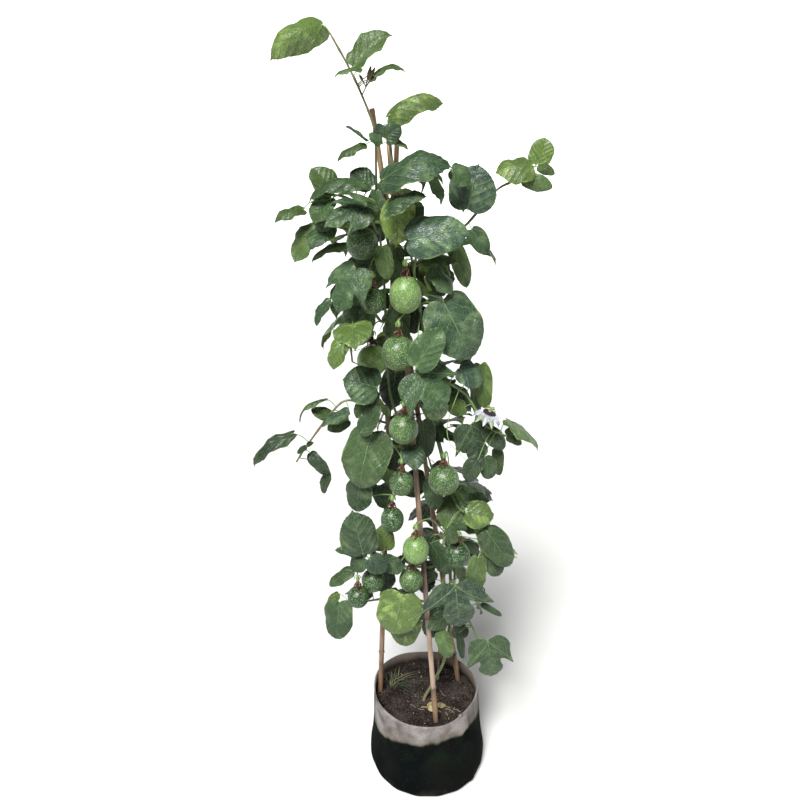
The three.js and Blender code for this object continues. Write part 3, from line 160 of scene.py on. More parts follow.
def solid(name, parts, *finishes):
    """One object from parts. A part is its points and faces, then its finish's number, and then
    the spot and the tint that its finish reads at each point."""
    points, faces, kinds, kept = [], [], [], {"spot": [], "tint": []}
    start = 0
    for skin_points, skin_faces, *more in parts:
        points.append(skin_points)
        faces += [[start + corner for corner in face] for face in skin_faces]
        kinds += [more[0] if more else 0] * len(skin_faces)
        blank = np.zeros((len(skin_points), 3))
        kept["spot"].append(more[1] if len(more) > 1 else blank)
        kept["tint"].append(more[2] if len(more) > 2 else blank)
        start += len(skin_points)
    points = np.concatenate(points)
    mesh = bpy.data.meshes.new(name)
    mesh.from_pydata(points.tolist(), [], faces)
    for material in finishes:
        mesh.materials.append(material)
    mesh.polygons.foreach_set("material_index", kinds)
    mesh.polygons.foreach_set("use_smooth", [True] * len(faces))
    for word, rows in kept.items():
        values = np.concatenate(rows).ravel()
        mesh.attributes.new(word, "FLOAT_VECTOR", "POINT").data.foreach_set("vector", values)
    thing = bpy.data.objects.new(name, mesh)
    bpy.context.scene.collection.objects.link(thing)
    return thing


def loft(rings, closed_ends=True):
    """A skin over rings of equal length, which are in millimetres: its points and faces, in metres."""
    rings = np.asarray(rings, float)
    rows, count = rings.shape[:2]
    faces = []
    for low in range(0, (rows - 1) * count, count):
        for i in range(count):
            j = (i + 1) % count
            faces.append([low + i, low + j, low + count + j, low + count + i])
    if closed_ends:
        faces.append(list(range(count))[::-1])
        faces.append([(rows - 1) * count + i for i in range(count)])
    return rings.reshape(-1, 3) * MM, faces


def around(count):
    """That many angles, evenly spaced once round."""
    return np.linspace(0, 2 * np.pi, count, endpoint=False)


def plain_round(sides):
    """The corners of a round of radius 1."""
    return np.stack([np.cos(around(sides)), np.sin(around(sides))], axis=1)


def floor_dress(tone):
    colour = tone.noise(2).blend(paint(206, 206, 204), paint(209, 209, 207))
    return {"Base Color": tone.along("Z").between(0.0, 2.0).blend(colour, paint(250, 250, 250))}


# The floor turns up into a low round wall a long way out, so that no edge of it shows.
# Each row is a radius and a height in metres.
FLOOR_ROWS = [(0.01, 0), (4, 0), (8, 0), (9, 0.1), (9.8, 0.4), (10.4, 0.9), (10.8, 1.6), (11, 2.6), (11, 4)]
floor_rings = [[(x * r / MM, y * r / MM, z / MM) for x, y in plain_round(96)] for r, z in FLOOR_ROWS]
floor = solid("floor", [loft(floor_rings, closed_ends=False)], finish("floor", floor_dress, Roughness=0.9))

# ---- Grow bag ----
# A sewn bag of soft needle felt, filled with soil, so that it swells low down and slumps a little.
# Below a pale dusty band at the rim the felt is dark with damp and green with algae.
# One seam runs down its front right, where the felt laps over itself.
RIM_RADIUS = 125
BAG_HEIGHT = 207
BULGE = 10
SLUMP = 7
FELT = 3.4
BAG_SIDES = 180
SEAM_LAP = 1.6
FOOT_RADIUS = 118
SEAM_ANGLE = math.radians(-44)
# Each row is a radius and a height of the bag's outside.
BAG_SIDE = [
    (FOOT_RADIUS, 0),
    (FOOT_RADIUS + 9, 1.2),
    (FOOT_RADIUS + 15, 5),
    (FOOT_RADIUS + 19.5, 12),
    (FOOT_RADIUS + 22, 25),
    (FOOT_RADIUS + 20.5, 48),
    (RIM_RADIUS + BULGE, 75),
    (RIM_RADIUS + BULGE / 2, 125),
    (RIM_RADIUS + BULGE / 4, 170),
    (RIM_RADIUS + 0.6, 196),
    (RIM_RADIUS, BAG_HEIGHT),
]


def rim_sag(angle):
    """How far out of round the felt is at the rim, in slow waves."""
    return 1.8 * np.sin(3 * angle + 0.6) + 1.2 * np.sin(5 * angle + 2)


def rim_wave(angle):
    """How far the rim rises and falls."""
    return 2 * np.sin(2 * angle + 1) + 1.2 * np.sin(7 * angle)


def bag_radius(radius, angle, height):
    """The felt sags in slow waves round the rim and is a little dented lower down."""
    share = np.clip(height / BAG_HEIGHT, 0, 1)
    dents = np.sin(4 * angle + height / 31 + 1) * np.sin(height / 43 + 2 * np.sin(angle))
    creases = np.sin(17 * angle + 3 * np.sin(height / 50)) * np.clip(1 - height / 60, 0, 1)
    return radius + rim_sag(angle) * share + 1.3 * dents * (1 - share**4) + 0.8 * creases


def bag_ring(radius, height, lap=0.0):
    """The felt's round at a height. It steps out by the lap at the seam."""
    angle = around(BAG_SIDES)
    share = min(height / BAG_HEIGHT, 1)
    past_seam = (angle - SEAM_ANGLE) % (2 * np.pi)
    flap = lap * np.clip(past_seam / 0.02, 0, 1) * np.clip((0.13 - past_seam) / 0.05, 0, 1)
    r = bag_radius(radius, angle, height) + flap
    x = r * np.cos(angle) + SLUMP * (1 - share**2)
    return np.stack([x, r * np.sin(angle), height + rim_wave(angle) * share**6], axis=1)


def smoothed(rows, steps):
    """More rows on a smooth line through the given ones, which may be points or whole rings."""
    rows = [np.asarray(row, float) for row in rows]
    rows = [2 * rows[0] - rows[1], *rows, 2 * rows[-1] - rows[-2]]
    finer = []
    for a, b, c, d in zip(rows, rows[1:], rows[2:], rows[3:]):
        for step in range(steps):
            t = step / steps
            curve = (c - a) * t + (2 * a - 5 * b + 4 * c - d) * t**2 + (3 * b - a - 3 * c + d) * t**3
            finer.append(b + curve / 2)
    return np.array([*finer, rows[-2]])


def coated(colour, *coats):
    """A colour under others. Each coat is how much of it shows, and its own colour."""
    for cover, coat in coats:
        colour = cover.blend(colour, coat)
    return colour


def felt_dress(tone):
    """Above a ragged edge the felt is dusty, and below it is dark with damp, algae and earth."""
    height, across = tone.along("Z"), tone.along("X")
    fluff, cloud, patch = tone.noise(420, 4), tone.noise(26, 4), tone.noise(9, 3)
    edge = height + (tone.noise(13, 2) - 0.5) * 0.03 + (cloud - 0.5) * 0.012
    edge = edge - across.math("MINIMUM", 0.0) * 0.24
    dusty = coated(
        (cloud + fluff * 0.4).between(0.45, 0.9).blend(paint(80, 75, 72), paint(146, 140, 137)),
        (fluff.between(0.45, 0.65) * 0.5, paint(68, 63, 60)),
        ((1 - edge.between(0.158, 0.185)) * 0.6, paint(104, 98, 86)),
    )
    dark = coated(
        patch.between(0.35, 0.7).blend(paint(5, 8, 9), paint(15, 17, 15)),
        (height.between(0.05, 0.15) * cloud.between(0.45, 0.65) * 0.55, paint(18, 28, 18)),
        ((1 - height.between(0.0, 0.04)) * cloud.between(0.5, 0.7), paint(52, 45, 38)),
        (tone.noise(260, 2).between(0.7, 0.76), paint(50, 54, 44)),
    )
    lining = coated(
        (height + cloud * 0.03).between(0.188, 0.214).blend(paint(58, 48, 42), paint(132, 122, 113)),
        (fluff.between(0.4, 0.7) * 0.4, paint(58, 50, 45)),
    )
    outer = edge.between(0.156, 0.167).blend(dark, dusty)
    return {
        "Base Color": tone.part("spot", "X").blend(outer, lining),
        "Roughness": 0.78 + 0.2 * fluff,
        "Normal": (fluff + cloud * 0.6).relief(0.0012),
    }


felt = finish("felt", felt_dress, Specular_IOR_Level=0.03)
outside = smoothed([bag_ring(radius, height, SEAM_LAP) for radius, height in BAG_SIDE], 3)
lip = [bag_ring(RIM_RADIUS - in_by, BAG_HEIGHT + up_by) for in_by, up_by in ((0.9, 1.1), (FELT - 0.6, 0.9))]
inside = [bag_ring(radius - FELT, max(height, FELT)) for radius, height in reversed(BAG_SIDE)]
points, faces = loft([*outside, *lip, *inside])
is_lining = np.zeros((len(points), 3))
is_lining[-len(inside) * BAG_SIDES :] = 1
grow_bag = solid("felt_grow_bag", [(points, faces, 0, is_lining)], felt)
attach(grow_bag, "root")
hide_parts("grow_bag")

# The seam's end is turned over into a small tab at the rim, beside the lap.
TAB_ANGLE = math.radians(-49.5)
TAB_CORNERS = ((-0.045, 0), (0.045, 0), (0.045, 1.1), (-0.045, 1.1))
tab_rings = []
for step in range(9):
    lean = math.pi * step / 8
    reach = RIM_RADIUS - 1.5 + 2.6 * math.cos(lean)
    height = BAG_HEIGHT + 1.2 + 2.4 * math.sin(lean)
    row = []
    for side, skin_lift in TAB_CORNERS:
        angle = TAB_ANGLE + side
        r = reach + skin_lift * math.cos(lean) + rim_sag(angle)
        z = height + skin_lift * math.sin(lean) + rim_wave(angle)
        row.append((r * math.cos(angle), r * math.sin(angle), z))
    tab_rings.append(row)
bag_tab = solid("felt_tab", [loft(tab_rings)], felt)
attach(bag_tab, "root")

# ---- Soil ----
# Dark, crumbly potting soil about 30 mm below the rim, with lumps, grit and a few pale grains of
# perlite. It fills the bag round the feet of the canes and stems.
SOIL_TOP = 178
SOIL_SIDES = 120
SOIL_BASE = FELT + 1
LITTER_REACH = 117
# Lumps and grains: how many, the smallest and the largest, and 0 for earth or 1 for perlite.
GRAINS = [(1700, 1.0, 5.4, 0), (70, 3.2, 7.0, 0), (150, 0.6, 1.5, 1), (16, 1.4, 3.0, 1)]
seeded = np.random.default_rng(11)


def soil_height(x, y):
    """The soil's top at a place, in millimetres."""
    slow = 2.2 * np.sin(x / 23 + 1) * np.sin(y / 19 + 2) + 1.2 * np.sin(x / 9 + y / 13)
    lumps = 0.9 * np.sin(x / 3.7 + 2 * np.sin(y / 5)) * np.sin(y / 4.1 + 1.5 * np.sin(x / 6))
    return SOIL_TOP + slow * 0.7 + lumps


def soil_ring(radius, height):
    """A round of the soil. The outer ones lie against the felt."""
    angle = around(SOIL_SIDES)
    r, shift = radius, 0
    if radius > FOOT_RADIUS / 2:
        r = bag_radius(radius, angle, height) - FELT - 0.3
        shift = SLUMP * (1 - (height / BAG_HEIGHT) ** 2)
    x, y = r * np.cos(angle) + shift, r * np.sin(angle)
    z = np.full(SOIL_SIDES, float(height)) if height < SOIL_TOP - 4 else soil_height(x, y)
    return np.stack([x, y, z], axis=1)


soil_rings = [soil_ring(2, SOIL_BASE)]
soil_sides = [row for row in BAG_SIDE if row[1] < SOIL_TOP - 6]
soil_rings += [soil_ring(radius, max(height, SOIL_BASE)) for radius, height in soil_sides]
for out, to, count in ((RIM_RADIUS + 2, FOOT_RADIUS / 2 + 1, 26), (FOOT_RADIUS / 2 - 6, 1.5, 20)):
    soil_rings += [soil_ring(radius, SOIL_TOP) for radius in np.linspace(out, to, count)]


def grain(centre, size):
    """A rough lump with eight faces."""
    tips = np.array([(1, 0, 0), (0, 1, 0), (-1, 0, 0), (0, -1, 0), (0, 0, 1), (0, 0, -1)], float)
    spin, _ = np.linalg.qr(seeded.normal(size=(3, 3)))
    spin *= np.sign(np.linalg.det(spin))
    points = (tips * seeded.uniform(0.6, 1.25, (6, 1)) * size) @ spin + centre
    faces = [[0, 1, 4], [1, 2, 4], [2, 3, 4], [3, 0, 4], [1, 0, 5], [2, 1, 5], [3, 2, 5], [0, 3, 5]]
    return points * MM, faces


def scattered(count, smallest, largest, number):
    """Grains strewn over the soil, most of them near the smallest size."""
    grains = []
    for _ in range(count):
        reach = LITTER_REACH * math.sqrt(seeded.uniform(0, 1))
        angle = seeded.uniform(0, 2 * math.pi)
        x, y = reach * math.cos(angle), reach * math.sin(angle)
        size = smallest + (largest - smallest) * seeded.uniform(0, 1) ** 3
        grains.append((*grain((x, y, soil_height(x, y) + size * 0.25), size), number))
    return grains


def soil_dress(tone):
    crumb = tone.noise(300, 4)
    cloud = tone.noise(30, 3)
    dark = cloud.between(0.35, 0.7).blend(paint(27, 22, 21), paint(58, 51, 47))
    colour = crumb.between(0.5, 0.76).blend(dark, paint(88, 78, 71))
    pale = tone.noise(520, 1).between(0.72, 0.76)
    return {"Base Color": pale.blend(colour, paint(165, 155, 143)), "Normal": crumb.relief(0.003)}


def perlite_dress(tone):
    return {"Base Color": tone.noise(300).blend(paint(122, 114, 105), paint(176, 169, 158))}


soil_finish = finish("potting_soil", soil_dress, Roughness=0.97, Specular_IOR_Level=0.05)
perlite = finish("perlite", perlite_dress, Roughness=0.9)
crumbs = [crumb for row in GRAINS for crumb in scattered(*row)]
soil = solid("potting_soil", [loft(soil_rings), *crumbs], soil_finish, perlite)
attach(soil, "root")
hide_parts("soil")

# ---- Canes ----
# Three bamboo canes about 12 mm thick stand in the soil and lean together near their tops.
# Each has a raised ring at every joint and is sawn off at the top, where it is hollow.
CANE_FOOT = 75
CANE_SIDES = 20
# Each cane has its place where it leaves the soil, its tip, and the heights of its joints.
CANES = {
    "front": ((24, -79, 175), (-80, -14, 1440), (272, 456, 657, 817, 980, 1140, 1300)),
    "left": ((-108, 13, 175), (-65, 2, 1457), (300, 620, 930, 1230)),
    "right": ((86, 53, 175), (-110, 16, 1494), (260, 590, 900, 1210)),
}


def cane_radius(height):
    """A cane is a little thinner at its top."""
    return 6 - 1.2 * height / 1500


def on_cane(cane, height):
    """The middle of a cane at a height."""
    foot, tip = np.array(cane[0], float), np.array(cane[1], float)
    return foot + (tip - foot) * (height - foot[2]) / (tip[2] - foot[2])


def unit(way):
    return way / np.linalg.norm(way)


def bell(far, width):
    """1 at no distance, and soon nothing beyond that width."""
    return np.exp(-((far / width) ** 2))


def cane_skin(cane):
    """Its spots go round it and along it. Its tints tell how near a joint is, and paint shade in the groove
    beside each joint and in the hollow top.
    """
    _, tip, joints = cane
    way = unit(on_cane(cane, 1) - on_cane(cane, 0))
    side = unit(np.cross((0, 1, 0), way))
    flat = plain_round(CANE_SIDES)
    round_it = flat[:, :1] * side + flat[:, 1:] * np.cross(way, side)
    heights = set(np.linspace(CANE_FOOT, tip[2], 60))
    for joint in joints:
        heights |= {joint + step for step in (-9, -5, -3, -1.6, -0.4, 0.8, 1.8, 2.8, 4, 7)}
    rows = []
    for height in sorted(heights):
        near = min(abs(height - joint) for joint in joints)
        after = min(abs(height - joint - 2.4) for joint in joints)
        shaded_recess = bell(after, 1.2)
        extra = 1.5 * bell(near, 2.2) - 0.6 * shaded_recess
        wander = 0.25 * math.sin(height / 37 + joints[0])
        rows.append((height, cane_radius(height) + extra + wander, math.exp(-near / 26), shaded_recess))
    top = cane_radius(tip[2])
    # The top turns in over the sawn rim and goes down inside the hollow, which is painted dark as shade.
    for up, in_by, dark in ((0.3, 0.5, 0), (0.1, 1.7, 0), (-9, 2.1, 1)):
        rows.append((tip[2] + up, top - in_by, 1, dark))
    rings = [on_cane(cane, row[0]) + round_it * row[1] for row in rows]
    spots = np.array([(*(spot * row[1]), row[0]) for row in rows for spot in flat]) * MM
    tints = np.array([(row[2], row[3], 0) for row in rows for _ in flat])
    return (*loft(rings), 0, spots, tints)


def cane_dress(pale, deep, stain, grey, bleached):
    def dress(tone):
        grain, slow = tone.grain(900, 14, 4), tone.grain(70, 9)
        joint, shaded_recess, height = tone.part("tint", "X"), tone.part("tint", "Y"), tone.part("spot", "Z")
        weathered = height.between(0.44, 0.54) * (1 - height.between(0.95, 1.25)) * grey
        faded = height.between(0.272, 0.276) * (1 - height.between(0.4, 0.52)) * bleached
        muddy = 1 - (height + 0.03 * slow).between(0.19, 0.23)
        spots = tone.grain(420, 190, 2).between(0.68, 0.75)
        colour = coated(
            grain.between(0.3, 0.7).blend(pale, deep),
            (slow.between(0.42, 0.7) * 0.75, stain),
            (joint * grain.between(0.25, 0.6), stain),
            # Painted shade in the groove beside each joint and inside the hollow top.
            (shaded_recess * 0.85, paint(44, 32, 26)),
            (weathered * slow.between(0.3, 0.6), paint(94, 78, 70)),
            (faded * (1 - slow.between(0.45, 0.7) * 0.7), paint(154, 134, 120)),
            (muddy * 0.6, paint(66, 52, 42)),
            (spots * 0.7, paint(60, 42, 34)),
        )
        return {
            "Base Color": colour,
            "Roughness": 0.42 + 0.3 * slow,
            "Normal": (grain + slow).relief(0.0005),
        }

    return dress


# For each cane, pale and dark bamboo, its stains, and how far it is weathered and bleached.
cane_finishes = {
    "front": (paint(166, 138, 110), paint(122, 95, 73), paint(76, 57, 45), 0.75, 0.85),
    "left": (paint(140, 112, 84), paint(106, 79, 58), paint(70, 52, 40), 0.6, 0.2),
    "right": (paint(172, 142, 106), paint(134, 104, 74), paint(88, 66, 50), 0.4, 0.0),
}
for name, cane in CANES.items():
    bamboo = finish(f"bamboo_{name}", cane_dress(*cane_finishes[name]))
    pole = solid(f"bamboo_cane_{name}", [cane_skin(cane)], bamboo)
    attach(pole, "root")
    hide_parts(f"cane_{name}")

# ---- Tie ----
# Twine is wound five times round all three canes where they meet, and knotted in front.
# It is two-ply jute, so each turn shows a slanting twist.
TIE_HEIGHT = 1352
TIE_RISE = 10
TIE_TURNS = 5
KNOT_ANGLE = -1.4
TWINE_RADIUS = 1.05


def tube(points, radii, sides=10, number=0, tint=(0, 0, 0)):
    """A round skin along a run of points. Its spots go round it and along it, in metres."""
    points = np.asarray(points, float)
    radii = np.broadcast_to(np.asarray(radii, float), len(points))
    ways = np.gradient(points, axis=0)
    ways /= np.linalg.norm(ways, axis=1)[:, None]
    side = np.cross(ways[0], (0.3, 0.9, 0.1) if abs(ways[0][1]) < 0.8 else (1, 0, 0))
    flat = plain_round(sides)
    rings = []
    for at, way, radius in zip(points, ways, radii):
        side = unit(side - way * np.dot(side, way))
        rings.append(at + flat[:, :1] * radius * side + flat[:, 1:] * radius * np.cross(way, side))
    along = np.concatenate([[0], np.cumsum(np.linalg.norm(np.diff(points, axis=0), axis=1))])
    spots = [(*(row * radius), far) for radius, far in zip(radii, along) for row in flat]
    return (*loft(rings), number, np.array(spots) * MM, np.tile(tint, (len(spots), 1)))


def level_way(angle):
    """A way of length 1 that lies level."""
    return np.array((math.cos(angle), math.sin(angle), 0))


def round_canes(angle, height):
    """Where twine lies at that angle as it goes round the canes."""
    way = level_way(angle)
    outer = max((on_cane(cane, height) for cane in CANES.values()), key=lambda at: at @ way)
    return outer + way * (cane_radius(height) + TWINE_RADIUS + 0.1)


def wound_twine():
    """The middle of the twine from turn to turn, pulled straight where it leaves a cane."""
    run = []
    for i in range(TIE_TURNS * 60 + 1):
        share = i / (TIE_TURNS * 60)
        height = TIE_HEIGHT + TIE_RISE * (share - 0.5)
        run.append(round_canes(2 * math.pi * TIE_TURNS * share + KNOT_ANGLE, height))
    run = np.array(run)
    for _ in range(3):
        run[1:-1] = (run[:-2] + 2 * run[1:-1] + run[2:]) / 4
    return run


def twine_dress(tone):
    twist = {"Vector": tone.kept("spot"), "Scale": 160.0, "Distortion": 0.4}
    ply = tone.node("TexWave", {"bands_direction": "DIAGONAL"}, twist)
    fibre = tone.grain(2600, 900)
    colour = fibre.between(0.3, 0.7).blend(paint(120, 96, 62), paint(168, 142, 100))
    return {
        # The grooves between the plies are painted dark as shade.
        "Base Color": (ply.between(0.0, 0.35) * 0.5 + 0.5).blend(paint(70, 52, 34), colour),
        "Normal": (ply + 0.4 * fibre).relief(0.0006),
    }


knot_at = round_canes(KNOT_ANGLE, TIE_HEIGHT) + (0, -1.6, 0)
loop = np.linspace(0, 2 * np.pi, 26)
knot = knot_at + np.stack([2.6 * np.sin(2 * loop), 0.8 * np.cos(3 * loop), 3.2 * np.cos(loop)], axis=1)
tail = smoothed([knot_at + (-1, -1, -2), knot_at + (-3, -1.8, -5), knot_at + (-4, -1.6, -9)], 4)
twines = [tube(run, TWINE_RADIUS, 8) for run in (wound_twine(), knot, tail)]
binding = solid("twine_tie", twines, finish("jute_twine", twine_dress, Roughness=0.95))
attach(binding, "root")
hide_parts("cane_tie")

# ---- Climbing stems ----
# Two woody stems leave the soil and wind up between the canes. The green one forks low down.
# Old wood near the soil is grey-brown and cracked along its length; it is smooth and green above.
STEMS = {
    "green": [
        (-2, -15, 120), (-2, -15, 180), (22, -17, 240), (48, -10, 310), (56, 2, 430), (52, 8, 580),
        (42, 10, 750), (5, 10, 900), (-35, 0, 1050), (-62, -8, 1180), (-82, -11, 1260), (-95, -12, 1330),
    ],
    "brown": [
        (36, 55, 120), (36, 55, 180), (38, 40, 300), (62, 26, 420), (66, 24, 560), (60, 16, 700),
        (22, 22, 850), (2, -8, 980), (-14, -32, 1090), (-36, -48, 1220), (-52, -52, 1330),
    ],
    "fork": [
        (43, 9, 735), (14, -12, 775), (-42, -6, 860), (-78, -25, 960), (-86, -38, 1080),
        (-90, -42, 1200), (-98, -38, 1290),
    ],
}
STEM_RADII = {"green": 3.6, "brown": 2.8, "fork": 2.8}
STEMS = {name: np.array(points, float) for name, points in STEMS.items()}
STEM_LINES = {name: smoothed(points, 8) for name, points in STEMS.items()}


def bark_dress(wood, crack, green):
    def dress(tone):
        height = tone.along("Z")
        grain = tone.grain(1100, 60, 4)
        patch = tone.grain(160, 40)
        old = 1 - (height + patch * 0.25).between(0.32, 0.75)
        foot = 1 - (height + patch * 0.02).between(0.2, 0.225)
        old_wood = coated(
            grain.between(0.35, 0.65).blend(wood, crack),
            (foot * 0.8, paint(122, 108, 86)),
        )
        fresh = grain.between(0.3, 0.8).blend(green, paint(92, 112, 66))
        pores = tone.grain(500, 260, 1).between(0.69, 0.73)
        return {
            "Base Color": (pores * 0.6).blend(old.blend(fresh, old_wood), paint(158, 148, 120)),
            "Roughness": 0.55 + 0.35 * old,
            "Normal": (grain * old + pores * 0.5).relief(0.0009),
        }

    return dress


green_bark = finish("green_bark", bark_dress(paint(104, 116, 80), paint(64, 72, 46), paint(74, 98, 54)))
brown_bark = finish("brown_bark", bark_dress(paint(116, 92, 74), paint(70, 52, 42), paint(84, 88, 56)))


def stem_skin(name):
    """A stem with a slight knot wherever a leaf once grew."""
    line = STEM_LINES[name]
    share = np.linspace(0, 1, len(line))
    knots = 0.35 * np.clip(np.sin(line[:, 2] / 11.5), 0.7, 1) - 0.245
    return tube(line, STEM_RADII[name] * (1.05 - 0.25 * share) + 3 * knots, 12)


green_stem = solid("green_climbing_stem", [stem_skin("green"), stem_skin("fork")], green_bark)
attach(green_stem, "root")
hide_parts("stem_green")
brown_stem = solid("brown_climbing_stem", [stem_skin("brown")], brown_bark)
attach(brown_stem, "root")
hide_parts("stem_brown")

# ---- Fruits ----
# Each fruit is a smooth, nearly round passion fruit with a leathery rind. The rind is thickly
# sprinkled with pale dots, and a ripening one is lighter. They hang from stalks on the shoots.
FRONT = -80
# Each row is x, z and depth, breadth and height, the shoot that bears it, and how ripe it is.
FRUITS = [
    (-127, 1268, -72, 58, 58, "left_high", 0.1),
    (-110, 1165, -88, 47, 49, "left_mid", 0.1),
    (-50, 1176, -88, 59, 68, "centre", 0.85),
    (-63, 1066, -88, 64, 66, "centre", 0.3),
    (-112, 1052, -45, 58, 60, "left_mid", 1.0),
    (-53, 913, -86, 58, 60, "right_mid", 0.3),
    (8, 958, -92, 50, 52, "right_mid", 0.35),
    (-57, 795, -82, 50, 52, "mid_low", 0.15),
    (28, 802, -88, 62, 62, "right_low", 0.2),
    (-76, 712, -80, 48, 53, "mid_low", 0.05),
    (-27, 640, -98, 55, 62, "left_low", 0.8),
    (-36, 566, -74, 51, 54, "left_low", 0.3),
    (60, 628, -78, 53, 55, "right_low", 0.0),
    (-150, 523, -106, 46, 48, "left_low", 0.0),
    (-117, 565, -84, 50, 50, "left_low", 0.1),
]


def sight(x, z, y):
    """A place seen at x and z on the plant's front plane, and y deep along that line of sight."""
    reach = (y - EYE[1]) / (FRONT - EYE[1])
    return np.array((EYE[0] + (x - EYE[0]) * reach, y, EYE[2] + (z - EYE[2]) * reach))


def hung(row):
    """A fruit's middle, its half breadth and its half height."""
    x, z, y, breadth, height, _, _ = row
    scale = (y - EYE[1]) / (FRONT - EYE[1])
    return sight(x, z, y), breadth * scale / 2, height * scale / 2


def fruit_skin(centre, a, b, ripe):
    """Nearly a ball, with half breadth a and half height b, and dips at its crown and stalk."""
    rows, sides = 30, 48
    turn = around(sides)
    rings = []
    for i in range(rows + 1):
        angle = math.pi * (i / rows - 0.5)
        reach = math.cos(angle) ** 0.94
        dip = 0.035 * bell(math.pi / 2 - abs(angle), 0.16)
        ribs = 1 + 0.006 * np.sin(6 * turn + centre[0]) * reach
        r = np.maximum(a * reach * ribs, 0.02)
        z = np.full(sides, b * (math.sin(angle) - math.copysign(dip, angle)))
        rings.append(np.stack([r * np.cos(turn), r * np.sin(turn), z], axis=1) + centre)
    points, faces = loft(rings)
    spots = (points / MM - centre) / (a, a, b)
    return points, faces, 0, spots, np.tile((ripe, 0, 0), (len(points), 1))


def rind_dress(tone):
    ripe = tone.part("tint", "X")
    cloud = tone.noise(60, 3)
    height = tone.part("spot", "Z")
    deep = cloud.between(0.3, 0.7).blend(paint(13, 32, 19), paint(26, 50, 27))
    light = cloud.between(0.3, 0.7).blend(paint(84, 116, 56), paint(112, 142, 74))
    low = (1 - (height + cloud * 0.5).between(-0.9, 0.1)) * 0.3
    dots, small = (
        tone.node("TexVoronoi", {}, {"Vector": tone.place(), "Scale": scale, "Randomness": 1.0})
        for scale in (400.0, 1050.0)
    )
    size = tone.noise(180, 2)
    dot = 1 - (dots - size * 0.34).between(0.1, 0.15)
    fine = (1 - small.between(0.22, 0.34)) * size.between(0.3, 0.5)
    mark = dot.math("MAXIMUM", fine * 0.45)
    pale = ripe.blend(paint(142, 180, 116), paint(206, 224, 174))
    return {
        "Base Color": coated(
            ripe.blend(deep, light),
            (low, paint(122, 142, 76)),
            (mark * (0.82 - 0.34 * ripe), pale),
        ),
        "Roughness": 0.32 + 0.16 * cloud + 0.1 * mark,
        "Normal": (cloud * 0.4 + mark * 0.3).relief(0.0004),
    }


gloss = {"Specular_IOR_Level": 0.42, "Coat_Weight": 0.08, "Coat_Roughness": 0.3}
rind = finish("passion_fruit_rind", rind_dress, **gloss)
for i, row in enumerate(FRUITS, 1):
    fruit = solid(f"passion_fruit_{i:02}", [fruit_skin(*hung(row), row[6])], rind)
    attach(fruit, "root")
    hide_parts(f"fruit_{i:02}")

# ---- Withered flowers ----
# The dead flower stays on the fruit's crown. Its dry, rust-brown petals hang in crumpled strips
# from the green cup and spread over the top of the fruit.
WITHERED_HEIGHT = 17


def ribbon(line, widths, flat, thick=0.5, number=0):
    """A thin strip along a line. flat is its broad way at each point."""
    line = np.asarray(line, float)
    flat = np.asarray(flat, float)
    ways = np.gradient(line, axis=0)
    ways /= np.linalg.norm(ways, axis=1)[:, None]
    broad = flat - ways * np.sum(flat * ways, axis=1)[:, None]
    broad /= np.linalg.norm(broad, axis=1)[:, None]
    out = np.cross(ways, broad)
    half = np.asarray(widths, float)[:, None] / 2
    lift = out * thick / 2
    cup = out * half * 0.35
    across = broad * half
    rings = np.stack([line - across + cup, line - lift, line + across + cup, line + lift], axis=1)
    points, faces = loft(rings)
    share = np.repeat(np.linspace(0, 1, len(line)), 4)
    spots = np.stack([points[:, 0], points[:, 1], share], axis=1)
    return points, faces, number, spots, np.zeros((len(points), 3))


def withered_strips(centre, a, b):
    """Four long and four short strips, which fall from the cup onto the fruit, and the style."""
    cup = centre + (0, 0, b + WITHERED_HEIGHT)
    parts = []
    for i in range(8):
        angle = 2 * math.pi * i / 8 + seeded.uniform(-0.3, 0.3)
        long_one = i % 2 == 0
        reach = (13.0 if long_one else 7.5) + seeded.uniform(-1.5, 1.5)
        line = []
        for step in range(9):
            t = step / 8
            r = 1.6 + (reach - 1.6) * t**1.35 + 0.7 * math.sin(7 * t + i)
            rind_top = b * math.sqrt(max(1 - (r / a) ** 2, 0.0)) + 0.9
            drop = WITHERED_HEIGHT + b - (WITHERED_HEIGHT - 3.2) * min(t * 1.35, 1) ** 0.8
            z = max(drop + (0.8 * math.sin(9 * t + 2 * i) if t > 0.2 else 0), rind_top)
            if long_one and t > 0.72:
                z = rind_top + 0.4
            spin = angle + 0.22 * math.sin(5 * t + i)
            line.append((r * math.cos(spin), r * math.sin(spin), z))
        line = np.array(line) + centre
        widths = [2.2, 3.2, 3.8, 4.0, 3.6, 3.2, 2.6, 1.7, 0.5]
        twist = angle + 0.4 * np.arange(9)
        sideways = np.stack([-np.sin(twist), np.cos(twist), np.full(9, 0.2)], axis=1)
        parts.append(ribbon(line, widths, sideways))
    style = smoothed([cup, centre + (0.6, 0, b + 9), centre + (-0.4, 0.3, b + 1.2)], 3)
    parts.append(tube(style, np.linspace(2.2, 1.0, len(style)), 7))
    return parts


def withered_dress(tone):
    streak = tone.noise(700, 4)
    cloud = tone.noise(160, 3)
    colour = streak.between(0.35, 0.7).blend(paint(62, 40, 28), paint(146, 96, 62))
    return {
        "Base Color": cloud.between(0.42, 0.62).blend(colour, paint(36, 25, 20)),
        "Normal": (streak + cloud).relief(0.0008),
    }


dry_petals = finish("dry_petals", withered_dress, Roughness=0.9)
for i, row in enumerate(FRUITS, 1):
    remains = solid(f"withered_flower_{i:02}", withered_strips(*hung(row)), dry_petals)
    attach(remains, "root")
    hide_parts(f"withered_{i:02}")

# ---- Leafy shoots ----
# Green shoots leave the climbing stems. Each bears thin, leathery leaves on long stalks, the
# stalks and green cups of its fruits, and a few tendrils. A leaf is oval or three-lobed, with a
# finely toothed edge, a pale midrib and side veins, and a paler, duller underside.
UP = np.array((0.0, 0.0, 1.0))
TOWARDS_LIGHT = np.array((0, -0.8, 0.6))
SHOOT_RADIUS = 2.6
CUP_HEIGHT = 12
CUP_GAP = 0.4
SEED = 15013
